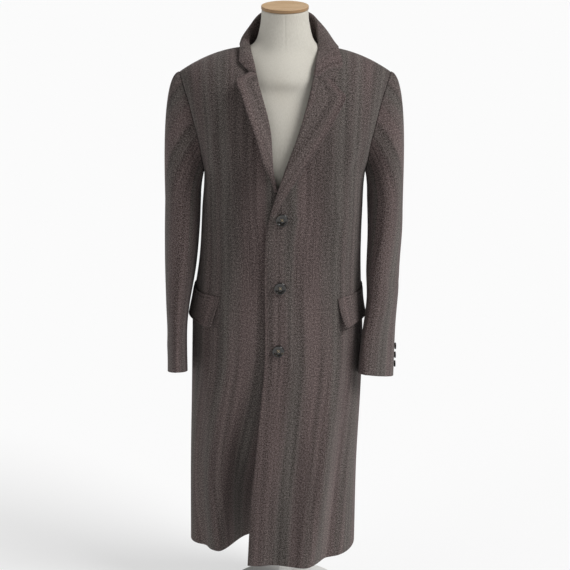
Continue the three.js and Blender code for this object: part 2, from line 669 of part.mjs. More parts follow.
// Dress form: level sections of the torso and of the neck that grows out of it
const torso = [
  { z: 620, half: 156, front: 98, back: 98, plate: 0 },
  { z: 700, half: 160, front: 106, back: 102, plate: 0 },
  { z: 780, half: 150, front: 106, back: 96, plate: 0 },
  { z: 860, half: 147, front: 108, back: 94, plate: 0 },
  { z: 950, half: 152, front: 118, back: 102, plate: 0 },
  { z: 1040, half: 158, front: 127, back: 108, plate: 0.03 },
  { z: 1120, half: 166, front: 128, back: 110, plate: 0.06 },
  { z: 1180, half: 174, front: 122, back: 104, plate: 0.1 },
  { z: 1240, half: 180, front: 116, back: 98, plate: 0.12 },
];
const neck = [
  { z: 1190, half: 112, front: 88, back: 82 },
  { z: 1235, half: 88, front: 78, back: 67 },
  { z: 1255, half: 71.5, front: 65, back: 54 },
  { z: 1272, half: 62.5, front: 58, back: 49 },
  { z: 1292, half: 55.5, front: 53, back: 46.5 },
  { z: 1318, half: 50, front: 49, back: 45 },
  { z: 1338, half: 48, front: 48, back: 46 },
];
const FORM_DROP = CLOTH + 0.95;

function formPoint(turn, z) {
  const sine = Math.sin(rad(turn));
  const cosine = Math.cos(rad(turn));
  const side = cosine >= 0 ? 'front' : 'back';
  const ridgeTop = NECK_POINT_Z - FORM_DROP;
  const reach = z < ridgeTop ? NECK_POINT_X + Math.sqrt((ridgeTop - z) / SHOULDER_FALL) : 0;
  const shoulder = Math.min(read(torso, 'half', z), reach);
  const neckHalf = z > neck[0].z ? read(neck, 'half', z) : 0;
  const x = Math.max(shoulder, neckHalf) * sine;
  const full = read(torso, 'half', z) * (1 + read(torso, 'plate', z));
  const lens = Math.sqrt(Math.max(0, 1 - (x / full) ** 2)) * roundOver(shoulderRidge(x) - FORM_DROP - z);
  const body = shoulder > Math.abs(x) - 1e-6 ? read(torso, side, z) * lens : 0;
  const round = neckHalf > Math.abs(x) ? read(neck, side, z) * Math.sqrt(1 - (x / neckHalf) ** 2) : 0;
  const depth = (body ** 8 + round ** 8) ** (1 / 8);
  return vec(x, -Math.sign(cosine) * depth, z);
}

function formTorso() {
  const chest = [TORSO_FOOT_Z, 680, 740, 800, 860, 920, 980, 1040, 1090, 1135, 1170, 1200, 1220];
  const throat = [1236, 1247, 1255, 1260, 1264, 1270, 1279, 1292, 1312, NECK_TOP_Z];
  const levels = [...chest, ...throat];
  const around = 32;
  const vertices = [];
  const triangles = [];
  for (const z of levels) {
    for (let j = 0; j < around; j += 1) {
      const turn = (360 * (j + 0.5)) / around;
      const point = formPoint(turn, z);
      if (z === NECK_TOP_Z) point.z += point.y * Math.tan(rad(CAP_TILT));
      vertices.push(...point.toArray());
    }
  }
  for (let i = 0; i < levels.length - 1; i += 1) {
    for (let j = 0; j < around; j += 1) {
      const k = (j + 1) % around;
      const [a, b] = [i * around + j, i * around + k];
      triangles.push(a, b, b + around, a, b + around, a + around);
    }
  }
  const cap = (level, z, up) => {
    const centre = vertices.length / 3;
    vertices.push(0, 0, z);
    for (let j = 0; j < around; j += 1) {
      const [a, b] = [level * around + j, level * around + ((j + 1) % around)];
      triangles.push(...(up ? [centre, a, b] : [centre, b, a]));
    }
  };
  cap(0, levels[0], false);
  cap(levels.length - 1, NECK_TOP_Z, true);
  const geometry = new THREE.BufferGeometry();
  geometry.setAttribute('position', new THREE.Float32BufferAttribute(vertices, 3));
  geometry.setIndex(triangles);
  return geometry;
}

function disc(diameter, thickness, bevel, steps) {
  const r = diameter / 2;
  const top = thickness - bevel;
  const rim = [[r - bevel, 0], [r, bevel], [r, top], [r - bevel, thickness]];
  return turned([[0, 0], ...rim, [0, thickness]], steps);
}

// Materials
const wool = new THREE.MeshStandardMaterial({ color: 0x4a403d, roughness: 0.95, metalness: 0 });
const horn = new THREE.MeshStandardMaterial({ color: 0x1d1815, roughness: 0.25, metalness: 0 });
const linen = new THREE.MeshStandardMaterial({ color: 0xcfcabd, roughness: 0.9, metalness: 0 });
const wood = new THREE.MeshStandardMaterial({ color: 0xc69f74, roughness: 0.5, metalness: 0 });
const steel = new THREE.MeshStandardMaterial({ color: 0xe6e4df, roughness: 0.4, metalness: 0.1 });

const group = new THREE.Group();

function add(name, geometry, material) {
  const mesh = new THREE.Mesh(geometry, material);
  mesh.name = name;
  group.add(mesh);
  return mesh;
}

add('coat_front_left', panel('over', 1, 12, 6), wool);
add('coat_front_right', panel('under', -1, 12, 6), wool);
add('coat_back_left', panel('back', 1, 8, 2), wool);
add('coat_back_right', panel('back', -1, 8, 2), wool);
for (const [side, hand] of [[1, 'left'], [-1, 'right']]) {
  add(`sleeve_top_${hand}`, sleevePart(side, FRONT_SLEEVE_SEAM - 360, BACK_SLEEVE_SEAM, 14), wool);
  add(`sleeve_under_${hand}`, sleevePart(side, BACK_SLEEVE_SEAM, FRONT_SLEEVE_SEAM, 8), wool);
}
add('collar', collar(), wool);
for (const [part, side, hand] of [['over', 1, 'left'], ['under', -1, 'right']]) {
  add(`lapel_${hand}`, lapel(part), wool);
  add(`pocket_flap_${hand}`, pocketFlap(part, side), wool);
  add(`pocket_jet_${hand}`, pocketJet(part, side), wool);
}

const BUTTONS = [
  { x: -6, z: 934 },
  { x: -10, z: 789 },
  { x: -14, z: 652 },
];
BUTTONS.forEach(({ x, z }, i) => {
  const button = add(`button_front_${i + 1}`, buttonShape(BUTTON_DIAMETER, BUTTON_THICKNESS, 24), horn);
  const { point, normal } = surfaceAt('over', x, z);
  seat(button, point, normal);
});

const CUFF_BUTTON_RISES = [66, 46, 26];
const CUFF_BUTTON_TURN = { 1: 58, '-1': 42 };
for (const [side, hand] of [[1, 'left'], [-1, 'right']]) {
  const turn = CUFF_BUTTON_TURN[side];
  CUFF_BUTTON_RISES.forEach((rise, i) => {
    const z = cuffHeight(side, turn) + rise;
    const shape = buttonShape(CUFF_BUTTON_DIAMETER, CUFF_BUTTON_THICKNESS, 16);
    const button = add(`cuff_button_${hand}_${i + 1}`, shape, horn);
    const du = sleeveRing(side, turn + 1, z).sub(sleeveRing(side, turn - 1, z));
    const normal = du.cross(vec(0, 0, side)).normalize();
    seat(button, sleeveRing(side, turn, z), normal);
  });
}

add('form_torso', formTorso(), linen);
const cap = add('form_cap', disc(CAP_DIAMETER, CAP_THICKNESS, 1, 32), wood);
cap.rotation.x = rad(CAP_TILT);
cap.position.set(0, 0, NECK_TOP_Z + SEAM_GAP);
const poleLength = TORSO_FOOT_Z - BASE_THICKNESS - 2 * SEAM_GAP;
const pole = add('form_pole', disc(POLE_DIAMETER, poleLength, 0.5, 20), steel);
pole.position.z = BASE_THICKNESS + SEAM_GAP;
add('form_base', disc(BASE_DIAMETER, BASE_THICKNESS, 1.5, 48), steel);

export default group;
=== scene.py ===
import math
import bpy
import numpy as np
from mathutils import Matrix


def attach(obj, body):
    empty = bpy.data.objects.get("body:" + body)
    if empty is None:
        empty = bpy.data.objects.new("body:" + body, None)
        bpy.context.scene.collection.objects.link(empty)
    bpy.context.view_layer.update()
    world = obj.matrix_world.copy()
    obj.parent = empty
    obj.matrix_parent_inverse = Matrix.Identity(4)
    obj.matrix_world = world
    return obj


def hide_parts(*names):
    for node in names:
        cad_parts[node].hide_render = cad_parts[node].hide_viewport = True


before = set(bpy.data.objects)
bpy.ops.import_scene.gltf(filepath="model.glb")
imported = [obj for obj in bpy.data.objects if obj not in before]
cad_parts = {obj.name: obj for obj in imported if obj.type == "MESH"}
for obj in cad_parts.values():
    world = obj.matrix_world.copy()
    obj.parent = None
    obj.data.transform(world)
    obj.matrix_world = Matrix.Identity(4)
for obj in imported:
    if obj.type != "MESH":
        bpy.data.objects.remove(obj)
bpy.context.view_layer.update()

# The camera. The coat is seen from straight in front, from a little above head height and
# looking down, so that the pale floor fills the whole background.
CAMERA_LENS = 84.7
CAMERA_AWAY = 2.8
CAMERA_HEIGHT = 1.59
CAMERA_DIP = 16.65
camera_data = bpy.data.cameras.new("front_camera")
camera_data.lens = CAMERA_LENS
camera_data.sensor_width = 36
camera_data.clip_end = 200
camera = bpy.data.objects.new("front_camera", camera_data)
camera.location = (0, -CAMERA_AWAY, CAMERA_HEIGHT)
camera.rotation_euler = (math.radians(90 - CAMERA_DIP), 0, 0)
bpy.context.scene.collection.objects.link(camera)
bpy.context.scene.camera = camera


# The cloth: one wool herringbone for the whole coat. Dark brown and grey-mauve yarns run
# in upright stripes of twill that lean to and fro, under a short fuzzy nap. Its pattern
# follows each piece's own cut through the piece's UV map, which is in metres.
class Value:
    """A number on a material's socket, with Python's operators as Math nodes."""

    def __init__(self, cloth, socket):
        self.cloth = cloth
        self.socket = socket

    def math(self, operation, *others):
        values = {i + 1: other for i, other in enumerate(others)}
        return self.cloth.node("Math", {"operation": operation}, {0: self, **values})

    def __add__(self, other):
        return self.math("ADD", other)

    def __sub__(self, other):
        return self.math("SUBTRACT", other)

    def __mul__(self, other):
        return self.math("MULTIPLY", other)

    def __truediv__(self, other):
        return self.math("DIVIDE", other)

    def __rsub__(self, other):
        return self.cloth.node("Math", {"operation": "SUBTRACT"}, {0: other, 1: self})

    __radd__ = __add__
    __rmul__ = __mul__


class Finish:
    """A material under construction: a Principled shader and the nodes that feed it."""

    def __init__(self, name):
        self.material = bpy.data.materials.new(name)
        self.material.use_nodes = True
        self.tree = self.material.node_tree
        self.shader = self.tree.nodes["Principled BSDF"]

    def node(self, kind, settings={}, inputs={}, output=0):
        made = self.tree.nodes.new("ShaderNode" + kind)
        for key, setting in settings.items():
            setattr(made, key, setting)
        for key, given in inputs.items():
            self.feed(made.inputs[key], given)
        return Value(self, made.outputs[output])

    def feed(self, socket, given):
        if isinstance(given, Value):
            self.tree.links.new(given.socket, socket)
        elif socket.type == "RGBA" and len(given) == 3:
            socket.default_value = (*given, 1)
        else:
            socket.default_value = given

    def place(self, source="UV", scale=(1, 1, 1), turn=0):
        if source == "UV":
            spot = self.node("UVMap", {"uv_map": "cut"})
        else:
            spot = self.node("TexCoord", {}, {}, "Object")
        return self.node("Mapping", {}, {"Vector": spot, "Scale": scale, "Rotation": (0, 0, turn)})

    def noise(self, where, scale, detail=2, roughness=0.5):
        return self.node("TexNoise", {}, {"Vector": where, "Scale": scale, "Detail": detail,
                                          "Roughness": roughness})

    def mix(self, share, first, second):
        settings = {"data_type": "RGBA", "clamp_factor": True}
        return self.node("Mix", settings, {0: share, 6: first, 7: second}, 2)

    def between(self, value, low, high, to_low=0, to_high=1):
        return self.node("MapRange", {"interpolation_type": "SMOOTHSTEP"}, {
            "Value": value, "From Min": low, "From Max": high, "To Min": to_low, "To Max": to_high})

    def bump(self, height, depth, strength):
        return self.node("Bump", {}, {"Height": height, "Distance": depth, "Strength": strength})

    def finish(self, **sockets):
        for key, given in sockets.items():
            self.feed(self.shader.inputs[key.replace("_", " ")], given)
        return self.material


STRIPE_WIDTH = 0.0115
TWILL_PITCH = 0.0043
DARK_YARN = (0.016, 0.0110, 0.0098)
LIGHT_YARN = (0.270, 0.222, 0.212)
GREY_YARN = (0.128, 0.122, 0.108)
MAUVE_YARN = (0.160, 0.112, 0.108)


def herringbone(name, bands=1.0, light=1.0):
    wool = Finish(name)
    cut = wool.place()
    across = wool.node("SeparateXYZ", {}, {0: cut})
    down = Value(wool, across.socket.node.outputs[1])
    wander = wool.noise(cut, 110, 1)
    leaning = (across / STRIPE_WIDTH).math("PINGPONG", 1)
    line = down / TWILL_PITCH + leaning * (STRIPE_WIDTH / TWILL_PITCH) * 1.1 + wander * 0.8
    twill = wool.between((line * (2 * math.pi)).math("SINE"), -0.8, 0.8)
    fleck = wool.noise(cut, 720, 3, 0.75)
    coarse_fleck = wool.noise(wool.place(scale=(1, 0.75, 1)), 390, 2, 0.6)
    yarn = wool.between(fleck * 0.5 + coarse_fleck * 0.5, 0.41, 0.61)
    streak = wool.between(wool.noise(wool.place(scale=(1, 0.03, 1)), 95, 2, 0.5), 0.34, 0.66)
    long_cut = wool.place(scale=(1, 0.04, 1))
    band = wool.between(wool.noise(long_cut, 22, 1, 0.4), 0.38, 0.62)
    patch = wool.noise(wool.place(scale=(1, 0.25, 1)), 8, 2)
    light_yarn = wool.mix(band * bands, MAUVE_YARN, GREY_YARN)
    light_yarn = wool.mix(yarn * 0.55, light_yarn, LIGHT_YARN)
    woven = wool.mix(yarn * 0.62 + twill * 0.16 + streak * 0.22 - 0.05, DARK_YARN, light_yarn)
    # Patches vary the tone at random; light above 1 paints the whole cloth lighter, as painted light.
    shade = wool.between(patch, 0.3, 0.7, 0.90 * light, 1.08 * light)
    colour = wool.node("VectorMath", {"operation": "SCALE"}, {0: woven, "Scale": shade})
    nap = wool.noise(cut, 1500, 2, 0.6)
    height = twill * 0.3 + coarse_fleck * 0.6 + fleck * 0.6 + nap * 0.25
    normal = wool.bump(height, 0.0010, 0.6)
    return wool.finish(Base_Color=colour, Roughness=0.94 - yarn * 0.06, Normal=normal,
                       Sheen_Weight=0.12, Sheen_Roughness=0.55, Sheen_Tint=(0.85, 0.78, 0.76, 1),
                       Specular_IOR_Level=0.18)


wool = herringbone("wool")


# The coat's body: two fronts and two backs of the same wool, cut with side, shoulder and
# centre-back seams, with a round armhole at each side. The wearer's left front laps over
# the right one. Sizes are in millimetres until a piece's mesh is made.
def columns(names, *rows):
    return dict(zip(names.split(), np.array(rows, float).T))


BODY = columns(
    "z left right over under back",
    (150, -217, 159, 150, 86, 128),
    (348, -213, 161, 149, 110, 124),
    (522, -207, 168, 148, 131, 120),
    (652, -203, 170, 147, 139.5, 118),
    (718, -200, 167, 146, 140, 117),
    (827, -183, 163, 146, 139, 114),
    (934, -174, 165, 146, 138.5, 118),
    (1005, -170, 169, 145, 137, 124),
    (1040, -180, 180, 144, 138, 126),
    (1100, -196, 197, 142, 140, 126),
    (1163, -212, 212, 142, 142, 124),
    (1230, -225, 225, 142, 142, 120),
)
ARMHOLE = columns("z x", (1100, 183), (1163, 200), (1216.5, 219))
# Front edges below the break, roll lines above it
FRONT_EDGES = {
    "over": columns(
        "z x", (150, -82), (286, -74), (413, -61.5), (539, -49.5), (603, -43), (680, -41), (879, -40),
        (940, -30.5), (990, -15.5), (1040, 1), (1113, 28), (1195, 51.6), (1239, 60.7), (1268, 66)),
    "under": columns(
        "z x", (150, -55), (300, -38), (450, -8), (600, 18), (700, 22), (930, 20), (999, -15.3),
        (1047, -24.5), (1109, -29), (1146, -36), (1215, -55), (1268, -66)),
}
# Long soft folds that hang from the chest and the back: heights of top and foot, places
# across at the top, the middle and the foot, width, and rise at the top and the foot
FOLDS = {
    "over": (
        (1150, 150, 125, 108, 42, 26, 3, 17),
        (900, 150, 135, 130, 98, 20, 0, -11),
        (640, 150, 10, -10, -26, 24, 0, -8),
    ),
    "under": (
        (1110, 930, -140, -153, -168, 13, 5, 3),
        (980, 150, -120, -128, -146, 24, 2, 9),
        (700, 150, -166, -178, -184, 16, 0, -8),
    ),
    "back": (
        (1080, 150, -95, -105, -126, 30, 2, 15),
        (900, 150, -50, -58, -76, 24, 0, -10),
        (1060, 150, 92, 88, 66, 30, 2, 16),
        (880, 150, 48, 34, 8, 24, 0, -9),
    ),
}
# Small creases and dents, each a soft ridge (rise above 0) or trough between two places:
# x and z of the one, x and z of the other, width and rise
CREASES = {
    "over": (
        (22, 938, 96, 968, 9, 0.9),
        (26, 922, 120, 905, 10, -0.8),
        (20, 790, 92, 812, 9, 0.7),
        (16, 776, 110, 742, 11, -0.8),
        (14, 655, 84, 676, 10, 0.7),
        (60, 1010, 112, 1080, 12, -0.8),
        (112, 1020, 158, 1112, 10, 1.6),
        (128, 1000, 166, 1072, 9, -1.8),
        (120, 905, 150, 850, 12, 1.3),
        (96, 830, 132, 812, 9, -1.2),
        (118, 742, 121, 832, 4.5, -2.0),
        (135, 600, 122, 470, 13, 1.5),
        (92, 560, 76, 380, 14, -1.5),
        (60, 420, 30, 220, 16, 1.6),
        (134, 330, 118, 190, 12, 1.8),
        (18, 500, 4, 330, 14, 1.2),
    ),
    "under": (
        (-104, 1120, -138, 1042, 11, 1.4),
        (-120, 1086, -160, 1004, 9, -1.8),
        (-92, 1050, -128, 968, 12, -1.2),
        (-118, 742, -121, 832, 4.5, -1.8),
        (-110, 900, -142, 862, 11, 1.2),
        (-60, 860, -112, 842, 12, -1.0),
        (-150, 640, -163, 500, 12, 1.3),
        (-108, 610, -116, 420, 15, 1.6),
        (-84, 560, -94, 330, 15, -1.6),
        (-176, 420, -186, 230, 13, 1.6),
        (-132, 340, -140, 190, 14, -1.6),
    ),
    "back": (
        (-118, 1105, -150, 1022, 11, 1.5),
        (116, 1108, 152, 1020, 11, 1.5),
        (-60, 1176, -132, 1160, 12, -1.1),
        (64, 1180, 128, 1158, 13, -1.0),
        (-40, 1022, -104, 1046, 12, 0.9),
        (44, 1010, 110, 1050, 13, 0.9),
        (-120, 560, -134, 360, 14, 1.6),
        (-22, 620, -30, 400, 15, 1.5),
        (96, 600, 82, 380, 15, 1.5),
        (130, 520, 136, 300, 14, -1.6),
        (40, 420, 24, 210, 14, 1.7),
    ),
}
CLOTH = 3
SEAM_GAP = 0.3
HEM_Z = 150
SWING_Z = 640
SWING_BACK = 88
SWING_EDGE = 25
ARMHOLE_FOOT_Z = 1005
ARMHOLE_NOTCH_Z = 1100
SHOULDER_TIP_X = 219
NECK_POINT_X = 66
NECK_POINT_Z = 1268
SHOULDER_FALL = 0.0022
SHOULDER_ROUNDING = 210
SHOULDER_POWER = 2.2
SECTION_POWER = 0.85
SIDE_SEAM = 104
BREAK_Z = 940
CUT_FRONT_X = {"over": -34, "under": 20}
ROLL_RADIUS = 4.9
ROLL_MARGIN = 8.2
NECK_MARGIN = 6
NECKLINE_REACH = 72
BACK_NECK_DEPTH = 58
BACK_NECK_RISE = 35
BACK_NECK_WIDTH = 150


def read(table, key, at, by="z"):
    """A column read smoothly between its rows."""
    places, values = table[by], table[key]
    last = len(places) - 1
    at = np.clip(np.asarray(at, float), places[0], places[-1])
    i = np.clip(np.searchsorted(places, at) - 1, 0, last - 1)
    low, high = np.maximum(i - 1, 0), np.minimum(i + 2, last)
    span = places[i + 1] - places[i]
    t = (at - places[i]) / span
    from_slope = (values[i + 1] - values[low]) / (places[i + 1] - places[low]) * span
    to_slope = (values[high] - values[i]) / (places[high] - places[i]) * span
    return ((2 * t**3 - 3 * t**2 + 1) * values[i] + (t**3 - 2 * t**2 + t) * from_slope
            + (3 * t**2 - 2 * t**3) * values[i + 1] + (t**3 - t**2) * to_slope)


def ease(value, low, high):
    t = np.clip((value - low) / (high - low), 0, 1)
    return t * t * (3 - 2 * t)


def unit(v):
    return v / np.maximum(np.linalg.norm(v, axis=-1, keepdims=True), 1e-9)


def stack(x, y, z):
    return np.stack(np.broadcast_arrays(x, y, z), -1).astype(float)


def folds_at(part, x, z):
    rise = np.zeros(np.broadcast(x, z).shape)
    for top_z, foot_z, top_x, mid_x, foot_x, width, top_rise, foot_rise in FOLDS[part]:
        t = np.clip((top_z - z) / (top_z - foot_z), 0, 1)
        bend = 2 * (top_x + foot_x - 2 * mid_x)
        ridge = top_x + (foot_x - top_x - bend) * t + bend * t * t
        high = top_rise + (foot_rise - top_rise) * t**1.5
        fade = np.where(z > top_z + 60, 0, 1 - ease(z, top_z, top_z + 60))
        rise += fade * high * np.exp(-(((x - ridge) / width) ** 2))
    return rise


def creases_at(table, x, z):
    rise = np.zeros(np.broadcast(x, z).shape)
    for i, (x1, z1, x2, z2, width, high) in enumerate(table):
        length = math.hypot(x2 - x1, z2 - z1)
        along_x, along_z = (x2 - x1) / length, (z2 - z1) / length
        t = ((x - x1) * along_x + (z - z1) * along_z) / length
        bow = 0.06 * length * np.sin(np.pi * np.clip(t, 0, 1)) * (1 if i % 2 else -1)
        off = (x - x1) * -along_z + (z - z1) * along_x - bow
        reach = np.exp(-((np.clip(abs(t - 0.5) - 0.32, 0, None) / 0.16) ** 2))
        rise += high * reach * np.exp(-((off / width) ** 2))
    return rise


def shoulder_line(x):
    return NECK_POINT_Z - SHOULDER_FALL * np.maximum(0, abs(x) - NECK_POINT_X) ** 2


def round_over(drop):
    t = np.clip(drop / SHOULDER_ROUNDING, 0, 1)
    return (1 - (1 - t) ** SHOULDER_POWER) ** (1 / SHOULDER_POWER)


def body_at(part, angle, z):
    """The coat's outer surface. Angle 0 is the middle of the front, 90 the wearer's left."""
    angle, z = np.broadcast_arrays(np.asarray(angle, float), np.asarray(z, float))
    left, right = read(BODY, "left", z), read(BODY, "right", z)
    middle, reach = (left + right) / 2, (right - left) / 2
    x = middle + reach * np.sin(np.radians(angle))
    facing = np.cos(np.radians(angle))
    depth = np.where(facing < 0, read(BODY, "back", z), read(BODY, part, z))
    ridge = shoulder_line(x)
    if part == "back":
        ridge = ridge + BACK_NECK_RISE * np.maximum(0, 1 - (2 * x / BACK_NECK_WIDTH) ** 2)
    y = -np.sign(facing) * depth * abs(facing) ** SECTION_POWER * round_over(ridge - z)
    if part == "under":
        below = np.maximum(0, (SWING_Z - z) / (SWING_Z - HEM_Z))
        swing = ease(below, 0, 1) * (0.35 + 0.65 * below)
        y = y + swing * (SWING_BACK * ease(x, -150, -80) + SWING_EDGE * ease(x, -90, -50))
    out = unit(stack((x - middle) / reach**2, y / depth**2, 0))
    seam = math.cos(math.radians(SIDE_SEAM))
    fade = ease(-facing, -seam, 0.5) if part == "back" else ease(facing, seam, 0.1)
    rise = folds_at(part, x, z) + creases_at(CREASES[part], x, z) * ease(abs(x), 18, 34)
    return stack(x, y, z) + out * (fade * rise)[..., None]


def angle_at(x, z):
    left, right = read(BODY, "left", z), read(BODY, "right", z)
    return np.degrees(np.arcsin(np.clip((x - (left + right) / 2) / ((right - left) / 2), -1, 1)))


NOTCH_ANGLE = {1: float(angle_at(183, ARMHOLE_NOTCH_Z)), -1: float(-angle_at(-183, ARMHOLE_NOTCH_Z))}


def neckline(x):
    """How high the back reaches where it is cut away round the neck."""
    low = np.full(np.shape(x), float(ARMHOLE_NOTCH_Z))
    high = np.full(np.shape(x), float(NECK_POINT_Z + BACK_NECK_RISE))
    limit = BACK_NECK_DEPTH * np.sqrt(np.maximum(0, 1 - (x / NECKLINE_REACH) ** 2))
    side = np.where(x < 0, -1, 1)
    for _ in range(30):
        z = (low + high) / 2
        inside = body_at("back", side * (180 - abs(angle_at(x, z))), z)[..., 1] > limit
        low, high = np.where(inside, z, low), np.where(inside, high, z)
    return np.minimum(low, shoulder_line(x) + BACK_NECK_RISE)


def blend(a, b, t):
    return a + (b - a) * t


def panel_at(part, side, column, row):
    """A front or back. Columns below 1 run to the armhole's notch, and on to the side seam;
    rows below 1 climb from the hem to the notch, and on to the shoulder seam."""
    column, row = np.broadcast_arrays(np.asarray(column, float), np.asarray(row, float))
    back = part == "back"
    notch = NOTCH_ANGLE[side]
    u = np.where((row > 1) & (column < 1.002), np.minimum(column, 1), column)
    tip_x = blend(0 if back else NECK_POINT_X + ROLL_MARGIN + NECK_MARGIN, SHOULDER_TIP_X, np.clip(u, 0, 1))
    climb = 1 - (1 - np.clip(row - 1, 0, 1)) ** SHOULDER_POWER
    top_z = shoulder_line(tip_x)
    if back:
        top_z = np.where(tip_x < NECKLINE_REACH, neckline(side * tip_x), top_z)

    def climbed(top):
        return np.where(row <= 1, blend(HEM_Z, ARMHOLE_NOTCH_Z, np.clip(row, 0, 1)),
                        blend(ARMHOLE_NOTCH_Z, top, climb))

    z = climbed(top_z)
    arm_z = climbed(shoulder_line(SHOULDER_TIP_X))
    inner_z = z if back else climbed(NECK_POINT_Z)
    outer_x = side * read(ARMHOLE, "x", arm_z)
    if back:
        inner_x = np.zeros(z.shape)
        inner_low_x = inner_x
    else:
        inner_x = edge_at(part, side, inner_z)
        inner_low_x = edge_at(part, side, z)
    low_angle = blend(0 if back else side * angle_at(inner_low_x, z), notch, u)
    high_angle = side * angle_at(blend(inner_x, outer_x, u), z)
    angle = np.where(row <= 1, low_angle, high_angle)
    under = u > 1
    around = blend(notch, 180 - SIDE_SEAM if back else SIDE_SEAM, np.clip(u - 1, 0, 1))
    angle = np.where(under, around, angle)
    z = np.where(under, blend(HEM_Z, armhole_foot(side, around), np.clip(row, 0, 1)), z)
    shift = np.array([side * SEAM_GAP / 2 if back else 0, (1 if back else -1) * SEAM_GAP / 2, 0])
    return body_at(part, side * ((180 - angle) if back else angle), z) + shift


def edge_at(part, side, z):
    roll = ROLL_MARGIN * ease(z, BREAK_Z, BREAK_Z + 35)
    collar_seat = NECK_MARGIN * ease(z, NECK_POINT_Z - 63, NECK_POINT_Z - 33)
    return read(FRONT_EDGES[part], "x", z) + side * (roll + collar_seat)


def armhole_foot(side, angle):
    away = np.minimum(1, abs(abs(angle) - 90) / (90 - NOTCH_ANGLE[side]))
    return ARMHOLE_FOOT_Z + (ARMHOLE_NOTCH_Z - ARMHOLE_FOOT_Z) * (1 - np.sqrt(1 - away * away))


def sheet_normals(points, flip=1):
    """Normals of a grid from its own neighbours."""
    du = np.gradient(points, axis=1)
    dv = np.gradient(points, axis=0)
    return unit(np.cross(du, dv) * flip)


def lengths(points, axis):
    """How far along the cloth each point of a grid lies, counted along one direction."""
    steps = np.linalg.norm(np.diff(points, axis=axis), axis=-1)
    zero = np.zeros_like(np.take(steps, [0], axis=axis))
    return np.concatenate([zero, np.cumsum(steps, axis=axis)], axis=axis)


def cut_map(points, down_from=0.0):
    """Where each point of a grid lies on the flat cut piece."""
    return np.stack([lengths(points, 1), lengths(points, 0) + down_from], -1)


WALL = 2.6
SEAM_DIP = 0.9
EDGE_ROLL = 1.0


def turned_over(*grids):
    return [grid[:, ::-1] for grid in grids]


def cloth_piece(name, points, normals, cut, keep=None, thickness=WALL, seams=(), material=wool):
    """A closed cloth wall from a grid of outer points. Free edges are rounded; edges that
    are sewn to a neighbour (first_row, last_row, first_column, last_column) dip in a little."""
    rows, cols = points.shape[:2]
    if keep is None:
        keep = np.ones((rows - 1, cols - 1), bool)
    outer = points.copy()
    dips = {"first_row": (0, slice(None)), "last_row": (-1, slice(None)),
            "first_column": (slice(None), 0), "last_column": (slice(None), -1)}
    for seam in seams:
        outer[dips[seam]] -= normals[dips[seam]] * SEAM_DIP
    inner = points - normals * thickness
    vertices, spots, index, faces = [], [], {}, []

    def vertex(layer, i, j, grid):
        key = (layer, i, j)
        if key not in index:
            index[key] = len(vertices)
            vertices.append(grid[i, j])
            spots.append(cut[i, j])
        return index[key]

    has = np.zeros((rows + 1, cols + 1), bool)
    has[1:rows, 1:cols] = keep
    rim, middles = [], {}
    for i in range(rows - 1):
        for j in range(cols - 1):
            if not keep[i, j]:
                continue
            corners = [(i, j), (i, j + 1), (i + 1, j + 1), (i + 1, j)]
            faces.append([vertex(0, *c, outer) for c in corners])
            faces.append([vertex(1, *c, inner) for c in reversed(corners)])
            around = [(i, j + 1), (i + 1, j + 2), (i + 2, j + 1), (i + 1, j)]
            for k in range(4):
                if not has[around[k]]:
                    a, b = corners[k], corners[(k + 1) % 4]
                    rim.append((a, b))
                    tangent = points[b] - points[a]
                    side = np.cross(tangent, normals[a])
                    middles.setdefault(a, []).append(side)
                    middles.setdefault(b, []).append(side)
    for (i, j), sides in middles.items():
        push = unit(np.sum([unit(side) for side in sides], 0))
        index[2, i, j] = len(vertices)
        vertices.append((outer[i, j] + inner[i, j]) / 2 + push * EDGE_ROLL)
        spots.append(cut[i, j])
    for a, b in rim:
        faces.append([index[0, *b], index[0, *a], index[2, *a], index[2, *b]])
        faces.append([index[2, *b], index[2, *a], index[1, *a], index[1, *b]])
    mesh = bpy.data.meshes.new(name)
    mesh.from_pydata((np.array(vertices) * 0.001).tolist(), [], faces)
    layer = mesh.uv_layers.new(name="cut")
    corners = np.empty(len(mesh.loops), int)
    mesh.loops.foreach_get("vertex_index", corners)
    layer.data.foreach_set("uv", (np.array(spots)[corners] * 0.001).ravel())
    mesh.polygons.foreach_set("use_smooth", [True] * len(mesh.polygons))
    mesh.materials.append(material)
    mesh.update()
    piece = bpy.data.objects.new(name, mesh)
    bpy.context.scene.collection.objects.link(piece)
    return piece


def edged(count, low=0.0, high=1.0, first=0.004, last=0.004):
    """Evenly spread values with two more close to each end, to hold the edges' shape."""
    values = np.linspace(low, high, count + 1)
    span = high - low
    extra = [low + span * first, low + span * 2.5 * first, high - span * last, high - span * 2.5 * last]
    return np.unique(np.concatenate([values, extra]))


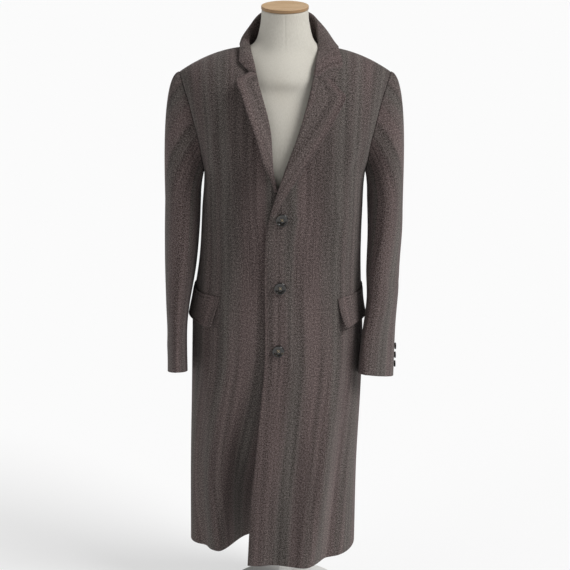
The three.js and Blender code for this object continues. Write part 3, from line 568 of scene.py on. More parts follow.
def front_or_back(name, part, side, seams):
    back = part == "back"
    low_rows = edged(150, 0, 1, 0.0018, 0.0009)
    high_rows = np.linspace(1, 2, 50)[1:]
    rows = np.concatenate([low_rows[low_rows < 1 - 1e-6], [1], high_rows])
    inner_cols = edged(70, 0, 1, 0.008, 0.006)
    end = math.acos(((SIDE_SEAM - 90) if back else (90 - SIDE_SEAM)) / (90 - NOTCH_ANGLE[side]))
    span = (180 - SIDE_SEAM if back else SIDE_SEAM) - NOTCH_ANGLE[side]
    turns = edged(14 if back else 34, 0, end, 0.01, 0.012)[1:]
    outer_cols = 1 + (90 - NOTCH_ANGLE[side]) * (1 - np.cos(turns)) / span
    outer_cols[-1] = 2
    cols = np.concatenate([inner_cols, outer_cols])
    v, u = np.meshgrid(rows, cols, indexing="ij")
    points = panel_at(part, side, u, v)
    step = 1e-3
    du = panel_at(part, side, np.minimum(u + step, 2), v) - panel_at(part, side, np.maximum(u - step, 0), v)
    dv = panel_at(part, side, u, np.minimum(v + step, 2)) - panel_at(part, side, u, np.maximum(v - step, 0))
    flip = (-1 if back else 1) * side
    normals = unit(np.cross(du, dv) * flip)
    keep = (rows[:-1, None] < 1 - 1e-6) | (cols[None, :-1] < 1 - 1e-6)
    cut = cut_map(points)
    if not back:
        above = points[:, 0, 2] > BREAK_Z
        cut[..., 0] += np.where(above, abs(points[:, 0, 0] - CUT_FRONT_X[part]), 0)[:, None]
    if flip < 0:
        points, normals, cut, keep = turned_over(points, normals, cut, keep)
    piece = cloth_piece(name, points, normals, cut, keep, seams=seams)
    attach(piece, "root")
    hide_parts(name.replace("wool_", ""))


for hand, part, side, seams in (("left", "over", 1, ("last_row", "last_column")),
                                ("right", "under", -1, ("last_row", "first_column"))):
    front_or_back(f"wool_coat_front_{hand}", part, side, seams)
for hand, side in (("left", 1), ("right", -1)):
    seams = ("last_row", "first_column", "last_column")
    front_or_back(f"wool_coat_back_{hand}", "back", side, seams)


# Sleeves: each of two pieces, a broad top and a narrow under one, sewn down the front and
# the back of the arm, eased into the armhole and hemmed at the cuff. They hang by
# themselves, bent a little at the elbow.
SLEEVE_NAMES = "z x y long short turn"
SLEEVES = {
    1: columns(
        SLEEVE_NAMES, (548, 197.5, -45, 66, 28.5, 32), (655, 203, -38, 68, 26.4, 28),
        (738, 211, -26, 71, 30, 19), (800, 211, -20, 74, 34, 14), (880, 214, -12, 77, 37, 6),
        (950, 213, -5, 79, 38, 0)),
    -1: columns(
        SLEEVE_NAMES, (548, 234.5, -50, 66, 22, 4), (663, 233.5, -42, 68, 21.5, 4),
        (718, 231.5, -34, 70, 25, 3), (800, 224.5, -22, 74, 33, 0), (880, 220, -12, 77, 37, 0),
        (950, 217, -5, 79, 38, 0)),
}
# Creases of the sleeves, in degrees round the arm (0 outwards, 270 forwards) and height
SLEEVE_CREASES = {
    1: (
        (-92, 900, -70, 560, 9, 2.2),
        (-60, 800, -20, 765, 8, -1.2),
        (-84, 742, -30, 728, 8, -1.6),
        (-88, 700, -36, 712, 8, 1.2),
        (20, 760, 70, 800, 9, -1.0),
        (-70, 960, -38, 1020, 12, -1.4),
        (-30, 640, 30, 600, 14, 0.9),
    ),
    -1: (
        (-86, 900, -72, 570, 9, 1.6),
        (-64, 812, -20, 776, 8, -1.3),
        (-80, 745, -26, 738, 8, -1.5),
        (-84, 702, -40, 716, 8, 1.1),
        (14, 770, 66, 806, 9, -1.0),
        (-66, 970, -30, 1030, 12, -1.3),
        (-24, 650, 34, 612, 14, 0.8),
    ),
}
CUFF_Z = {1: 563, -1: 572}
CUFF_SLANT = 20
BICEPS_Z = 950
NOTCH_TURN = 80
FRONT_SLEEVE_SEAM = 238
BACK_SLEEVE_SEAM = 92


def sleeve_ring(side, phi, z):
    shape = SLEEVES[side]
    turn = np.radians(read(shape, "turn", z))
    swell = creases_at(SLEEVE_CREASES[side], (phi + 180) % 360 - 180, z)
    across = np.cos(np.radians(phi)) * (read(shape, "short", z) + swell)
    along = np.sin(np.radians(phi)) * (read(shape, "long", z) + swell)
    return stack(
        side * (read(shape, "x", z) + across * np.cos(turn) + along * np.sin(turn)),
        read(shape, "y", z) - across * np.sin(turn) + along * np.cos(turn), z)


def cuff_height(side, phi):
    """The cuff's edge: its front lies higher than its back."""
    return CUFF_Z[side] - CUFF_SLANT * np.sin(np.radians(phi))


def armhole_at(side, phi):
    """The armhole's edge. Phi 0 is the shoulder tip, 180 the underarm."""
    front = "over" if side > 0 else "under"
    turn = phi % 360
    upper_front = panel_at(front, side, 1, 1 + np.clip((turn - 360 + NOTCH_TURN) / NOTCH_TURN, 0, 1))
    upper_back = panel_at("back", side, 1, 2 - np.clip(turn / NOTCH_TURN, 0, 1))
    eta = np.pi * np.clip((turn - NOTCH_TURN) / (360 - 2 * NOTCH_TURN), 0, 1)
    angle = 90 + (90 - NOTCH_ANGLE[side]) * np.cos(eta)
    z = ARMHOLE_NOTCH_Z - (ARMHOLE_NOTCH_Z - ARMHOLE_FOOT_Z) * np.sin(eta)
    lower = np.where((angle > SIDE_SEAM)[..., None], body_at("back", side * angle, z),
                     body_at(front, side * angle, z))
    point = np.where((turn >= 360 - NOTCH_TURN)[..., None], upper_front,
                     np.where((turn <= NOTCH_TURN)[..., None], upper_back, lower))
    clear = 1 + 0.2 * (1 - np.cos(np.radians(phi))) / 2
    return point + stack(side * clear, 0, 0)


def sleeve_at(side, phi, s):
    phi, s = np.broadcast_arrays(np.asarray(phi, float), np.asarray(s, float))
    arm = sleeve_ring(side, phi, blend(cuff_height(side, phi), BICEPS_Z, np.clip(s, 0, 1)))
    h = np.clip(s - 1, 0, 1)[..., None]
    start_point = sleeve_ring(side, phi, np.full(phi.shape, float(BICEPS_Z)))
    end_point = armhole_at(side, phi)
    under = ((1 - np.cos(np.radians(phi))) / 2)[..., None]
    length = np.linalg.norm(end_point - start_point, axis=-1, keepdims=True)
    start = np.array([0, 0, 1.0]) * length * 0.85
    end = unit(blend(np.array([-side, 0, 0.2]), np.array([-side * 0.3, 0, 1.0]), under))
    end = end * length * blend(0.42, 0.8, under)
    head = (start_point * (2 * h**3 - 3 * h**2 + 1) + start * (h**3 - 2 * h**2 + h)
            + end_point * (3 * h**2 - 2 * h**3) + end * (h**3 - h**2))
    return np.where((s <= 1)[..., None], arm, head)


def sleeve_piece(name, side, from_phi, to_phi, steps):
    rows = np.concatenate([edged(100, 0, 1, 0.003, 0.0)[:-1], edged(46, 1, 2, 0.0, 0.004)])
    rows = np.unique(np.round(rows, 6))
    phi = edged(steps, from_phi, to_phi, 0.006, 0.006)
    s, p = np.meshgrid(rows, phi, indexing="ij")
    points = sleeve_at(side, p, s)
    step, turn = 1e-3, 0.1
    dp = sleeve_at(side, np.minimum(p + turn, to_phi), s) - sleeve_at(side, np.maximum(p - turn, from_phi), s)
    ds = sleeve_at(side, p, np.minimum(s + step, 2)) - sleeve_at(side, p, np.maximum(s - step, 0))
    normals = unit(np.cross(dp, ds) * side)
    near = unit(points[:, 1] - points[:, 0]) * SEAM_GAP * 1.1
    far = unit(points[:, -2] - points[:, -1]) * SEAM_GAP * 1.1
    points[:, 0] += near
    points[:, -1] += far
    cut = cut_map(points)
    if side < 0:
        points, normals, cut = turned_over(points, normals, cut)
    piece = cloth_piece(name, points, normals, cut, seams=("last_row", "first_column", "last_column"))
    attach(piece, "root")
    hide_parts(name.replace("wool_", ""))


for side, hand in ((1, "left"), (-1, "right")):
    sleeve_piece(f"wool_sleeve_top_{hand}", side, FRONT_SLEEVE_SEAM - 360, BACK_SLEEVE_SEAM, 96)
    sleeve_piece(f"wool_sleeve_under_{hand}", side, BACK_SLEEVE_SEAM, FRONT_SLEEVE_SEAM, 58)


# Lapels: the tops of the two fronts, turned out along a soft roll and pressed. They end
# above in a slanting edge, the lower side of the notch. The right one stands off the chest.
LAPEL_NAMES = "z edge_x edge_z lift roll"
LAPELS = {
    "over": columns(
        LAPEL_NAMES, (944, -24, 942, 3.8, 1.9), (958, -13.5, 955, 4.6, 3.0), (978, -3, 975, 6, 4.4),
        (1020, 24.5, 1020, 8.5, 4.9), (1065, 53, 1064, 9, 4.9), (1110, 81, 1108, 10, 4.9),
        (1150, 103, 1146, 11, 4.9), (1184, 117, 1177, 12, 4.9), (1200, 106, 1192, 10, 4.9),
        (1218.3, 93, 1210, 7, 4.9)),
    "under": columns(
        LAPEL_NAMES, (992, -19.5, 990, 1.8, 1.8), (1012, -26.5, 1009, 3.5, 2.6), (1030, -33, 1027, 6.5, 4.0),
        (1045, -37.5, 1041, 16, 4.9), (1085, -45.5, 1081, 30, 4.9), (1121, -55, 1117, 38, 4.9),
        (1155, -68, 1150, 38, 4.9), (1181, -79.5, 1179, 32, 4.9), (1204, -90, 1206, 24, 4.9),
        (1221.2, -70, 1223.6, 8, 4.9)),
}
LAPEL_CLEARANCE = CLOTH + 1.2
COLLAR_CLEARANCE = CLOTH + 1.4
COLLAR_EDGE_HEIGHT = CLOTH + 3.6
COLLAR_BULGE = 5


def body_normal(part, angle, z):
    du = body_at(part, angle + 0.5, z) - body_at(part, angle - 0.5, z)
    dv = body_at(part, angle, z + 0.5) - body_at(part, angle, z - 0.5)
    return unit(np.cross(du, dv))


def surface_at(part, x, z):
    """The coat's surface above a place seen from the front or the back, and its normal."""
    turn = angle_at(x, z)
    angle = np.where(np.asarray(x) < 0, -180, 180) - turn if part == "back" else turn
    return body_at(part, angle, z), body_normal(part, angle, z)


def clear_of(part, points, height):
    """Moves points of a laid piece out until the piece clears the cloth below it."""
    x = points[..., 0]
    foot, normal = surface_at(part, x, np.minimum(points[..., 2], shoulder_line(x) - 1))
    short = height - np.sum((points - foot) * normal, -1)
    return points + normal * np.maximum(0, short)[..., None]


def folded(crest, edge, normal, radius, cover, stand=None, lean=None, steps=26):
    """A folded piece, a row for each section: from inside the neck, round the crease and
    back over the cloth to the outer edge."""
    radius = np.broadcast_to(radius, crest.shape[:1])[:, None]
    out = unit(edge - crest)
    up = unit(normal - out * np.sum(normal * out, -1, keepdims=True))
    centre = crest + out * radius

    def around(turn):
        turn = np.radians(turn)
        return centre + out * radius * np.cos(turn) + up * radius * np.sin(turn)

    section = []
    if stand is None:
        for turn in np.linspace(-90, -135, 5)[:-1]:
            section.append(around(turn))
    else:
        upright = np.minimum(1, stand / 10)[:, None]
        outwards = unit(out * [1, 1, 0])
        inner = around(blend(-120, -90, upright))
        foot = around(-90) - stack(0, 0, stand) + outwards * lean[:, None]
        between = [blend(foot, inner, t) for t in np.linspace(0, 1, 13)[:-1]]
        low = around(-105)
        section += [blend(blend(low, inner, i / 12), point, upright) for i, point in enumerate(between)]
        section[0] = foot
        section.append(inner)
    for turn in np.linspace(-135, -270, 18):
        section.append(around(turn))
    start = section[-1]
    reach = edged(steps, 0, 1, 0.0, 0.012)[1:]
    section += [cover(start, edge, up, t) for t in reach]
    return np.stack(section, 1)


def lapel(name, part):
    side = 1 if part == "over" else -1
    shape = LAPELS[part]
    z = edged(96, shape["z"][0], shape["z"][-1], 0.004, 0.004)
    point, normal = surface_at(part, read(FRONT_EDGES[part], "x", z), z)
    radius = read(shape, "roll", z)
    crest = point + normal * (radius - CLOTH)[:, None]
    foot, foot_normal = surface_at(part, read(shape, "edge_x", z), read(shape, "edge_z", z))
    edge = foot + foot_normal * read(shape, "lift", z)[:, None]

    def cover(start, end, up, t):
        bow = 1.6 * math.sin(math.pi * t)
        low = blend(LAPEL_CLEARANCE - 1.2, LAPEL_CLEARANCE, ease(z, z[0], z[0] + 40))
        return clear_of(part, blend(start, end, t) + up * bow, low)

    points = folded(crest, edge, normal, radius, cover)
    normals = sheet_normals(points, side)
    cut = cut_map(points)
    cut[..., 0] -= cut[:, -1:, 0]
    if side < 0:
        points, normals, cut = turned_over(points, normals, cut)
    piece = cloth_piece(name, points, normals, cut, thickness=WALL - 0.2, material=lapel_wool)
    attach(piece, "root")
    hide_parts(name.replace("wool_", ""))


# The lapels, collar and pocket pieces take a copy of the cloth with weaker colour bands, its colour 6%
# lighter: painted light on the turned-out cloth.
lapel_wool = herringbone("lapel_wool", 0.5, 1.06)
lapel("wool_lapel_left", "over")
lapel("wool_lapel_right", "under")


# Collar: one strip that stands up round the back of the neck, folds over along a crease and
# falls outside, down to a leaf on each front. Each leaf ends in the notch's upper edge.
COLLAR_NAMES = "i x y z stand lean edge_x edge_y edge_z laid"
COLLAR = columns(
    COLLAR_NAMES,
    (0, -57, -70, 1222.5, 0, 0, -71, -100, 1225, 1),
    (1, -61, -52, 1240, 0, 0, -91.5, -84, 1242, 1),
    (2, -71, -26, 1268, 0, 0, -92, -40, 1271, 0),
    (3, -73, 0, 1289, 11, 2, -94, 2, 1273, 0),
    (4, -64, 27, 1314, 34, 2, -87, 40, 1264, 0),
    (5, -42, 50, 1335, 48, 2, -62, 70, 1259, 0),
    (6, 0, 60, 1338, 48, 3, 0, 86, 1264, 0),
    (7, 41, 50, 1336, 48, 2, 64, 70, 1260, 0),
    (8, 61, 29, 1321, 38, 5, 98, 40, 1268, 0),
    (9, 65, 6, 1299, 19, 6, 109, 2, 1270, 0),
    (10, 67, -26, 1269, 0, 0, 111, -40, 1265, 0),
    (11, 61, -56, 1240, 0, 0, 116, -74, 1236, 1),
    (12, 57.5, -75, 1219, 0, 0, 94, -101, 1211, 1),
)


def through(points, t):
    """A smooth line through points, read by their number, parting evenly by distance."""
    gaps = np.linalg.norm(np.diff(points, axis=0), axis=1) ** 0.5
    knots = np.concatenate([[0], np.cumsum(gaps)])
    at = np.interp(t, np.arange(len(points)), knots)
    table = {"z": knots, **{k: points[:, i] for i, k in enumerate("abc")}}
    return np.stack([read(table, k, at) for k in "abc"], -1)


def collar_piece(name):
    crests, edges = [], []
    for i in range(len(COLLAR["i"])):
        row = {key: COLLAR[key][i] for key in COLLAR_NAMES.split()}
        part = "over" if row["x"] > 0 else "under"
        if row["laid"]:
            point, normal = surface_at(part, row["x"], row["z"])
            crests.append(point + normal * (ROLL_RADIUS - CLOTH))
            point, normal = surface_at(part, row["edge_x"], row["edge_z"])
            edges.append(point + normal * COLLAR_EDGE_HEIGHT)
        else:
            crests.append([row["x"], row["y"], row["z"]])
            edges.append([row["edge_x"], row["edge_y"], row["edge_z"]])
    last = len(crests) - 1
    t = np.unique(np.concatenate([edged(150, 0, last, 0.002, 0.002), [1, last - 1]]))
    crests, edges = np.array(crests), np.array(edges)
    crest = through(crests, t)
    # The leaf's outer edge turns a sharp corner at each end
    ends = np.stack([np.interp(t, np.arange(last + 1), edges[:, i]) for i in range(3)], -1)
    edge = np.where(((t < 1) | (t > last - 1))[:, None], ends, through(edges[1:-1], t - 1))
    normal = unit(np.cross(np.gradient(crest, t, axis=0), edge - crest))
    bulge = COLLAR_BULGE * ease(np.minimum(t, last - t) / last, 0, 0.2)[:, None]
    stand = np.interp(t, COLLAR["i"], COLLAR["stand"])
    lean = np.interp(t, COLLAR["i"], COLLAR["lean"])

    def cover(start, end, up, share):
        points = blend(start, end, share) + up * bulge * math.sin(math.pi * share)
        over = clear_of("over", points, COLLAR_CLEARANCE)
        under = clear_of("under", points, COLLAR_CLEARANCE)
        behind = clear_of("back", points, COLLAR_CLEARANCE)
        fronts = np.where(points[:, :1] > 0, over, under)
        return np.where(points[:, 1:2] > 0, behind, fronts)

    points = folded(crest, edge, normal, ROLL_RADIUS, cover, stand, lean, steps=22)
    normals = sheet_normals(points, -1)
    cut = cut_map(points)[..., ::-1]
    points, normals, cut = turned_over(points, normals, cut)
    piece = cloth_piece(name, points, normals, cut, material=lapel_wool)
    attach(piece, "root")
    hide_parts("collar")


collar_piece("wool_collar")


# Pocket flaps and jets: a slanting flap sewn in under a narrow folded welt at each hip. The
# flap is doubled and pressed, and its front corner stands off the coat a little.
FLAP_FROM = 43
FLAP_TO = 97
FLAP_TOP_Z = 750
FLAP_DEPTH = 56
FLAP_SLANT = 3
JET_DEPTH = 7
LAID_GAP = 0.6
FLAP_TURNING = 4


def laid_piece(name, node, part, side, top_z, depth, slant, cloth, kick, rows):
    v, u = np.meshgrid(edged(rows, 0, 1, 0.02, 0.02), edged(64, 0, 1, 0.006, 0.006), indexing="ij")
    rounding = np.clip(1 - u / 0.05, 0, 1) ** 2 * 0.035
    angle = side * (blend(FLAP_FROM, FLAP_TO, u) + slant * v * (1 - u))
    z = top_z - depth * v * (1 - rounding)
    corner = 1 + 1.1 * (1 - u) ** 4 - 0.25 * np.sin(np.pi * np.clip(u * 1.2, 0, 1)) ** 2
    height = cloth + LAID_GAP + kick * v * v * corner
    points = body_at(part, angle, z) + body_normal(part, angle, z) * height[..., None]
    normals = sheet_normals(points, -side)
    cut = cut_map(points, FLAP_TURNING)
    if side > 0:
        points, normals, cut = turned_over(points, normals, cut)
    piece = cloth_piece(name, points, normals, cut, thickness=cloth - 0.3, material=lapel_wool)
    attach(piece, "root")
    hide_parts(node)


for part, side, hand in (("over", 1, "left"), ("under", -1, "right")):
    laid_piece(f"wool_pocket_flap_{hand}", f"pocket_flap_{hand}", part, side, FLAP_TOP_Z, FLAP_DEPTH,
               slant=FLAP_SLANT, cloth=3, kick=5, rows=20)
    laid_piece(f"wool_pocket_jet_{hand}", f"pocket_jet_{hand}", part, side, FLAP_TOP_Z + SEAM_GAP + JET_DEPTH,
               JET_DEPTH, slant=0, cloth=2.2, kick=0, rows=5)


# Buttons: turned from dark streaked horn and polished, with a raised rim, a dished middle
# and four holes. Three close the front and three lie on each cuff.
def horn_finish():
    horn = Finish("polished_horn")
    spot = horn.place("Object")
    warp = horn.noise(spot, 70, 3)
    streak = horn.noise(horn.node("VectorMath", {"operation": "ADD"}, {
        0: horn.place("Object", (1, 1, 2.6), 0.6),
        1: horn.node("VectorMath", {"operation": "SCALE"}, {0: spot, "Scale": warp * 0.02})}), 120, 4, 0.6)
    dark = horn.mix(horn.between(streak, 0.45, 0.62), (0.004, 0.0035, 0.003), (0.014, 0.010, 0.007))
    colour = horn.mix(horn.between(streak, 0.60, 0.72), dark, (0.13, 0.105, 0.062))
    normal = horn.bump(streak, 0.0002, 0.3)
    return horn.finish(Base_Color=colour, Roughness=0.10 + warp * 0.10, Normal=normal,
                       Specular_IOR_Level=0.55, Coat_Weight=0.35, Coat_Roughness=0.08)


def thread_finish(name, twists, shade, colour, roughness, sheen):
    thread = Finish(name)
    twist = thread.node("TexWave", {"wave_type": "BANDS", "bands_direction": "DIAGONAL"}, {
        "Vector": thread.place("Object"), "Scale": twists, "Distortion": 1.0}, 1)
    return thread.finish(Base_Color=thread.mix(twist, shade, colour), Roughness=roughness + twist * 0.1,
                         Normal=thread.bump(twist, 0.0002, 0.6), Sheen_Weight=sheen)


polished_horn = horn_finish()
dark_thread = thread_finish("dark_thread", 900, (0.035, 0.026, 0.022), (0.085, 0.066, 0.058), 0.7, 0.2)
button_thread = thread_finish("button_thread", 1100, (0.16, 0.13, 0.085), (0.34, 0.28, 0.19), 0.6, 0.0)
BUTTON_DIAMETER = 25.5
BUTTON_THICKNESS = 4.6
CUFF_BUTTON_DIAMETER = 15
CUFF_BUTTON_THICKNESS = 3.4
BUTTON_GAP = 0.4
# Shares of a button's radius: how far out its holes lie, and how large they are
PIT_REACH = 0.2145
PIT_RADIUS = 0.0837
DISH_HEIGHT = 0.54
THREAD_STRAND_GAP = 0.9
THREAD_STRAND_RADIUS = 0.42


def faced(point, normal):
    """The turn and place of a piece that lies on the cloth, its own +Y pointing up."""
    normal = unit(np.asarray(normal, float))
    across = unit(np.cross([0, 0, 1], normal))
    upward = np.cross(normal, across)
    return np.stack([across, upward, normal], 1), np.asarray(point, float)


def new_mesh(name, vertices, faces, material):
    mesh = bpy.data.meshes.new(name)
    mesh.from_pydata((np.asarray(vertices) * 0.001).tolist(), [], faces)
    mesh.polygons.foreach_set("use_smooth", [True] * len(mesh.polygons))
    mesh.materials.append(material)
    mesh.update()
    made = bpy.data.objects.new(name, mesh)
    bpy.context.scene.collection.objects.link(made)
    return made


def ring_faces(rings, steps):
    """Faces between rings of points, closed by two points that follow the rings."""
    faces = []
    low, high = rings * steps, rings * steps + 1
    for i in range(rings - 1):
        for j in range(steps):
            k = (j + 1) % steps
            faces.append([i * steps + j, i * steps + k, (i + 1) * steps + k, (i + 1) * steps + j])
    for j in range(steps):
        k = (j + 1) % steps
        faces.append([low, k, j])
        faces.append([high, (rings - 1) * steps + j, (rings - 1) * steps + k])
    return faces


def button(name, node, diameter, thickness, point, normal):
    """A turned button with four holes: rings of points, and a round pit at each hole."""
    r = diameter / 2
    turn, place = faced(point + normal * BUTTON_GAP, normal)
    steps = 72
    profile = [(0.0, 0.02), (0.62, 0.0), (0.8, 0.03), (0.90, 0.16), (0.97, 0.38), (1.0, 0.62), (0.992, 0.78),
               (0.965, 0.92), (0.92, 0.99), (0.87, 1.0), (0.82, 0.965), (0.77, 0.88), (0.72, 0.77),
               (0.66, 0.67), (0.58, 0.60), (0.48, 0.56), (0.40, 0.545), (0.32, 0.54), (0.26, 0.54),
               (0.205, 0.54), (0.15, 0.54), (0.1, 0.54), (0.05, 0.54), (0.0, 0.54)]
    hole_reach, hole_radius = PIT_REACH * r, PIT_RADIUS * r
    vertices = []
    for share, height in profile[1:-1]:
        for j in range(steps):
            a = 2 * math.pi * j / steps
            x, y, z = r * share * math.cos(a), r * share * math.sin(a), thickness * height
            if share < 0.45 and height > 0.3:
                for hx, hy in ((1, 1), (1, -1), (-1, 1), (-1, -1)):
                    d = math.hypot(x - hx * hole_reach, y - hy * hole_reach)
                    z -= thickness * 0.3 * (1 - float(ease(d, hole_radius * 0.6, hole_radius * 1.35)))
            vertices.append((x, y, z))
    vertices += [(0, 0, 0), (0, 0, thickness * DISH_HEIGHT)]
    vertices = np.array(vertices) @ turn.T + place
    piece = new_mesh(name, vertices, ring_faces(len(profile) - 2, steps), polished_horn)
    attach(piece, "root")
    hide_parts(node)
    crossed = []
    for hx, hy in ((1, 1), (-1, -1), (1, -1), (-1, 1)):
        crossed.append((hx * hole_reach, hy * hole_reach, thickness * (0.36 if hx == hy else 0.38)))
    for number in (0, 1):
        a, b = np.array(crossed[2 * number]), np.array(crossed[2 * number + 1])
        path = [blend(a, b, t) + [0, 0, thickness * 0.24 * math.sin(math.pi * t) ** 0.6 + 0.25 * number]
                for t in np.linspace(0, 1, 15)]
        for offset in (-THREAD_STRAND_GAP / 2, THREAD_STRAND_GAP / 2):
            side = unit(np.cross(b - a, [0, 0, 1])) * offset
            threads.append([(p + side) @ turn.T + place for p in path])


def tubes(name, paths, radius, material, around=6):
    """Round threads along short paths, as one mesh."""
    vertices, faces = [], []
    for path in paths:
        path = np.asarray(path)
        ahead = unit(np.gradient(path, axis=0))
        side = unit(np.cross(ahead, unit(np.array([0.31, 0.52, 0.79]))))
        top = np.cross(side, ahead)
        first = len(vertices)
        for i in range(len(path)):
            for j in range(around):
                a = 2 * math.pi * j / around
                vertices.append(path[i] + radius * (math.cos(a) * side[i] + math.sin(a) * top[i]))
        for i in range(len(path) - 1):
            for j in range(around):
                k = (j + 1) % around
                a, b = first + i * around, first + (i + 1) * around
                faces.append([a + j, b + j, b + k, a + k])
        last = first + (len(path) - 1) * around
        faces.append([first + j for j in range(around)])
        faces.append([last + j for j in reversed(range(around))])
    return new_mesh(name, vertices, faces, material)


threads = []
FRONT_BUTTONS = ((-6, 934), (-10, 789), (-14, 652))
CUFF_BUTTON_RISES = (66, 46, 26)
for i, (x, z) in enumerate(FRONT_BUTTONS):
    point, normal = surface_at("over", x, z)
    button(f"horn_button_front_{i + 1}", f"button_front_{i + 1}", BUTTON_DIAMETER,
           BUTTON_THICKNESS, point, normal)
for side, hand, turn in ((1, "left", 58), (-1, "right", 42)):
    for i, rise in enumerate(CUFF_BUTTON_RISES):
        heights = np.full(3, cuff_height(side, turn) + rise)
        before, point, after = sleeve_ring(side, turn + np.array([-1.0, 0.0, 1.0]), heights)
        normal = unit(np.cross(after - before, [0, 0, side]))
        button(f"horn_cuff_button_{hand}_{i + 1}", f"cuff_button_{hand}_{i + 1}", CUFF_BUTTON_DIAMETER,
               CUFF_BUTTON_THICKNESS, point, normal)
thread_piece = tubes("button_threads", threads, THREAD_STRAND_RADIUS, button_thread)
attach(thread_piece, "root")


# Buttonholes: worked by hand in the left front, with dark thread laid side by side over the
# two lips of the cut. Geometry Nodes lay one stitch after another along a drawn line, each a
# little larger or smaller than the last.
STITCH_SPACING = 0.0006
STITCH_HALF_LENGTH = 0.0004
THREAD_RADIUS = 0.0007
HOLE_INNER = -17
HOLE_OUTER = 9
LIP_OFFSET = 0.9
HOLE_RISE = 1.0
STITCH_HEIGHT = 0.25


def stitch_tree(name, material):
    tree = bpy.data.node_groups.new(name, "GeometryNodeTree")
    tree.interface.new_socket("Path", in_out="INPUT", socket_type="NodeSocketGeometry")
    tree.interface.new_socket("Stitches", in_out="OUTPUT", socket_type="NodeSocketGeometry")

    def node(kind, **inputs):
        made = tree.nodes.new(kind)
        for key, value in inputs.items():
            made.inputs[key].default_value = value
        return made

    stitch = node("GeometryNodeMeshUVSphere", Segments=6, Rings=5, Radius=1)
    jitter = tree.nodes.new("FunctionNodeRandomValue")
    jitter.data_type = "FLOAT"
    for key, value in (("Min", 0.85), ("Max", 1.15), ("Seed", 7)):
        jitter.inputs[key].default_value = value
    places = tree.nodes.new("GeometryNodeCurveToPoints")
    places.mode = "LENGTH"
    places.inputs["Length"].default_value = STITCH_SPACING
    copies = node("GeometryNodeInstanceOnPoints", Scale=(STITCH_HALF_LENGTH, THREAD_RADIUS, THREAD_RADIUS))
    grown = node("GeometryNodeScaleInstances")
    chain = [node("NodeGroupInput"), node("GeometryNodeMeshToCurve"), places, copies, grown,
             node("GeometryNodeRealizeInstances"), node("GeometryNodeSetMaterial", Material=material),
             node("NodeGroupOutput")]
    for first, second in zip(chain, chain[1:]):
        tree.links.new(first.outputs[0], second.inputs[0])
    tree.links.new(places.outputs["Rotation"], copies.inputs["Rotation"])
    tree.links.new(stitch.outputs["Mesh"], copies.inputs["Instance"])
    tree.links.new(jitter.outputs[1], grown.inputs["Scale"])
    return tree


def sewn(name, paths, tree):
    """Stitches laid along paths, turned into one plain mesh."""
    vertices, edges = [], []
    for path in paths:
        first = len(vertices)
        vertices += [tuple(np.asarray(p) * 0.001) for p in path]
        edges += [(first + i, first + i + 1) for i in range(len(path) - 1)]
    mesh = bpy.data.meshes.new(name + "_path")
    mesh.from_pydata(vertices, edges, [])
    guide = bpy.data.objects.new(name + "_path", mesh)
    bpy.context.scene.collection.objects.link(guide)
    modifier = guide.modifiers.new("stitches", "NODES")
    modifier.node_group = tree
    seen = guide.evaluated_get(bpy.context.evaluated_depsgraph_get())
    made_mesh = bpy.data.meshes.new_from_object(seen)
    made = bpy.data.objects.new(name, made_mesh)
    bpy.context.scene.collection.objects.link(made)
    guide.modifiers.remove(modifier)
    bpy.data.objects.remove(guide)
    made_mesh.polygons.foreach_set("use_smooth", [True] * len(made_mesh.polygons))
    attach(made, "root")


def on_coat(part, x, z, height):
    point, normal = surface_at(part, x, z)
    return point + normal * height


holes = []
for x, z in FRONT_BUTTONS:
    for lip in (-LIP_OFFSET, LIP_OFFSET):
        line = np.linspace(x + HOLE_INNER, x + HOLE_OUTER, 40)
        holes.append(on_coat("over", line, np.full(40, z + HOLE_RISE + lip), STITCH_HEIGHT))
sewn("buttonhole_edges", holes, stitch_tree("worked_edge", dark_thread))


# The dress form: a padded torso and neck without limbs, covered in tight cream linen that
# is sewn down the middle of the front and the back, and a little stained with use.
TORSO = columns(
    "z half front back plate", (620, 156, 98, 98, 0), (700, 160, 106, 102, 0), (780, 150, 106, 96, 0),
    (860, 147, 108, 94, 0), (950, 152, 118, 102, 0), (1040, 158, 127, 108, 0.03),
    (1120, 166, 128, 110, 0.06), (1180, 174, 122, 104, 0.1), (1240, 180, 116, 98, 0.12))
NECK = columns(
    "z half front back", (1190, 112, 88, 82), (1235, 88, 78, 67), (1255, 71.5, 65, 54),
    (1272, 62.5, 58, 49), (1292, 55.5, 53, 46.5), (1318, 50, 49, 45), (1344, 48, 48, 46))
FORM_DROP = CLOTH + 0.95
FORM_FOOT_Z = 620
NECK_TOP_Z = 1344
PADDING_STEPS = 24
PADDING_REACH = 15
LEVEL_HEIGHT = 1.7
CAP_TILT = 7
CAP_RADIUS = 49
CAP_THICKNESS = 7.2
CAP_ROUNDING = 1.4
CAP_GAP = 0.3


def linen_finish():
    linen = Finish("linen_cover")
    spot = linen.place("Object")
    across = linen.node("SeparateXYZ", {}, {0: spot})
    down = Value(linen, across.socket.node.outputs[2])
    warp_threads = (across * 5200 + linen.noise(spot, 260, 1) * 2.2).math("SINE")
    weft_threads = (down * 5200 + linen.noise(spot, 240, 1) * 2.2).math("SINE")
    weave = warp_threads * weft_threads
    slub = linen.noise(linen.place("Object", (1, 1, 0.2)), 700, 2)
    wear = linen.noise(spot, 9, 2)
    colour = linen.mix(linen.between(slub, 0.3, 0.7), (0.535, 0.510, 0.450), (0.590, 0.565, 0.505))
    colour = linen.mix(linen.between(wear, 0.5, 0.8) * 0.3, colour, (0.49, 0.44, 0.37))
    colour = linen.mix(linen.between(weave, -1, 1) * 0.08, colour, (0.36, 0.34, 0.30))
    height = weave * 0.4 + slub * 0.6
    return linen.finish(Base_Color=colour, Roughness=0.86 + slub * 0.08,
                        Normal=linen.bump(height, 0.0002, 0.25), Sheen_Weight=0.06, Specular_IOR_Level=0.25)


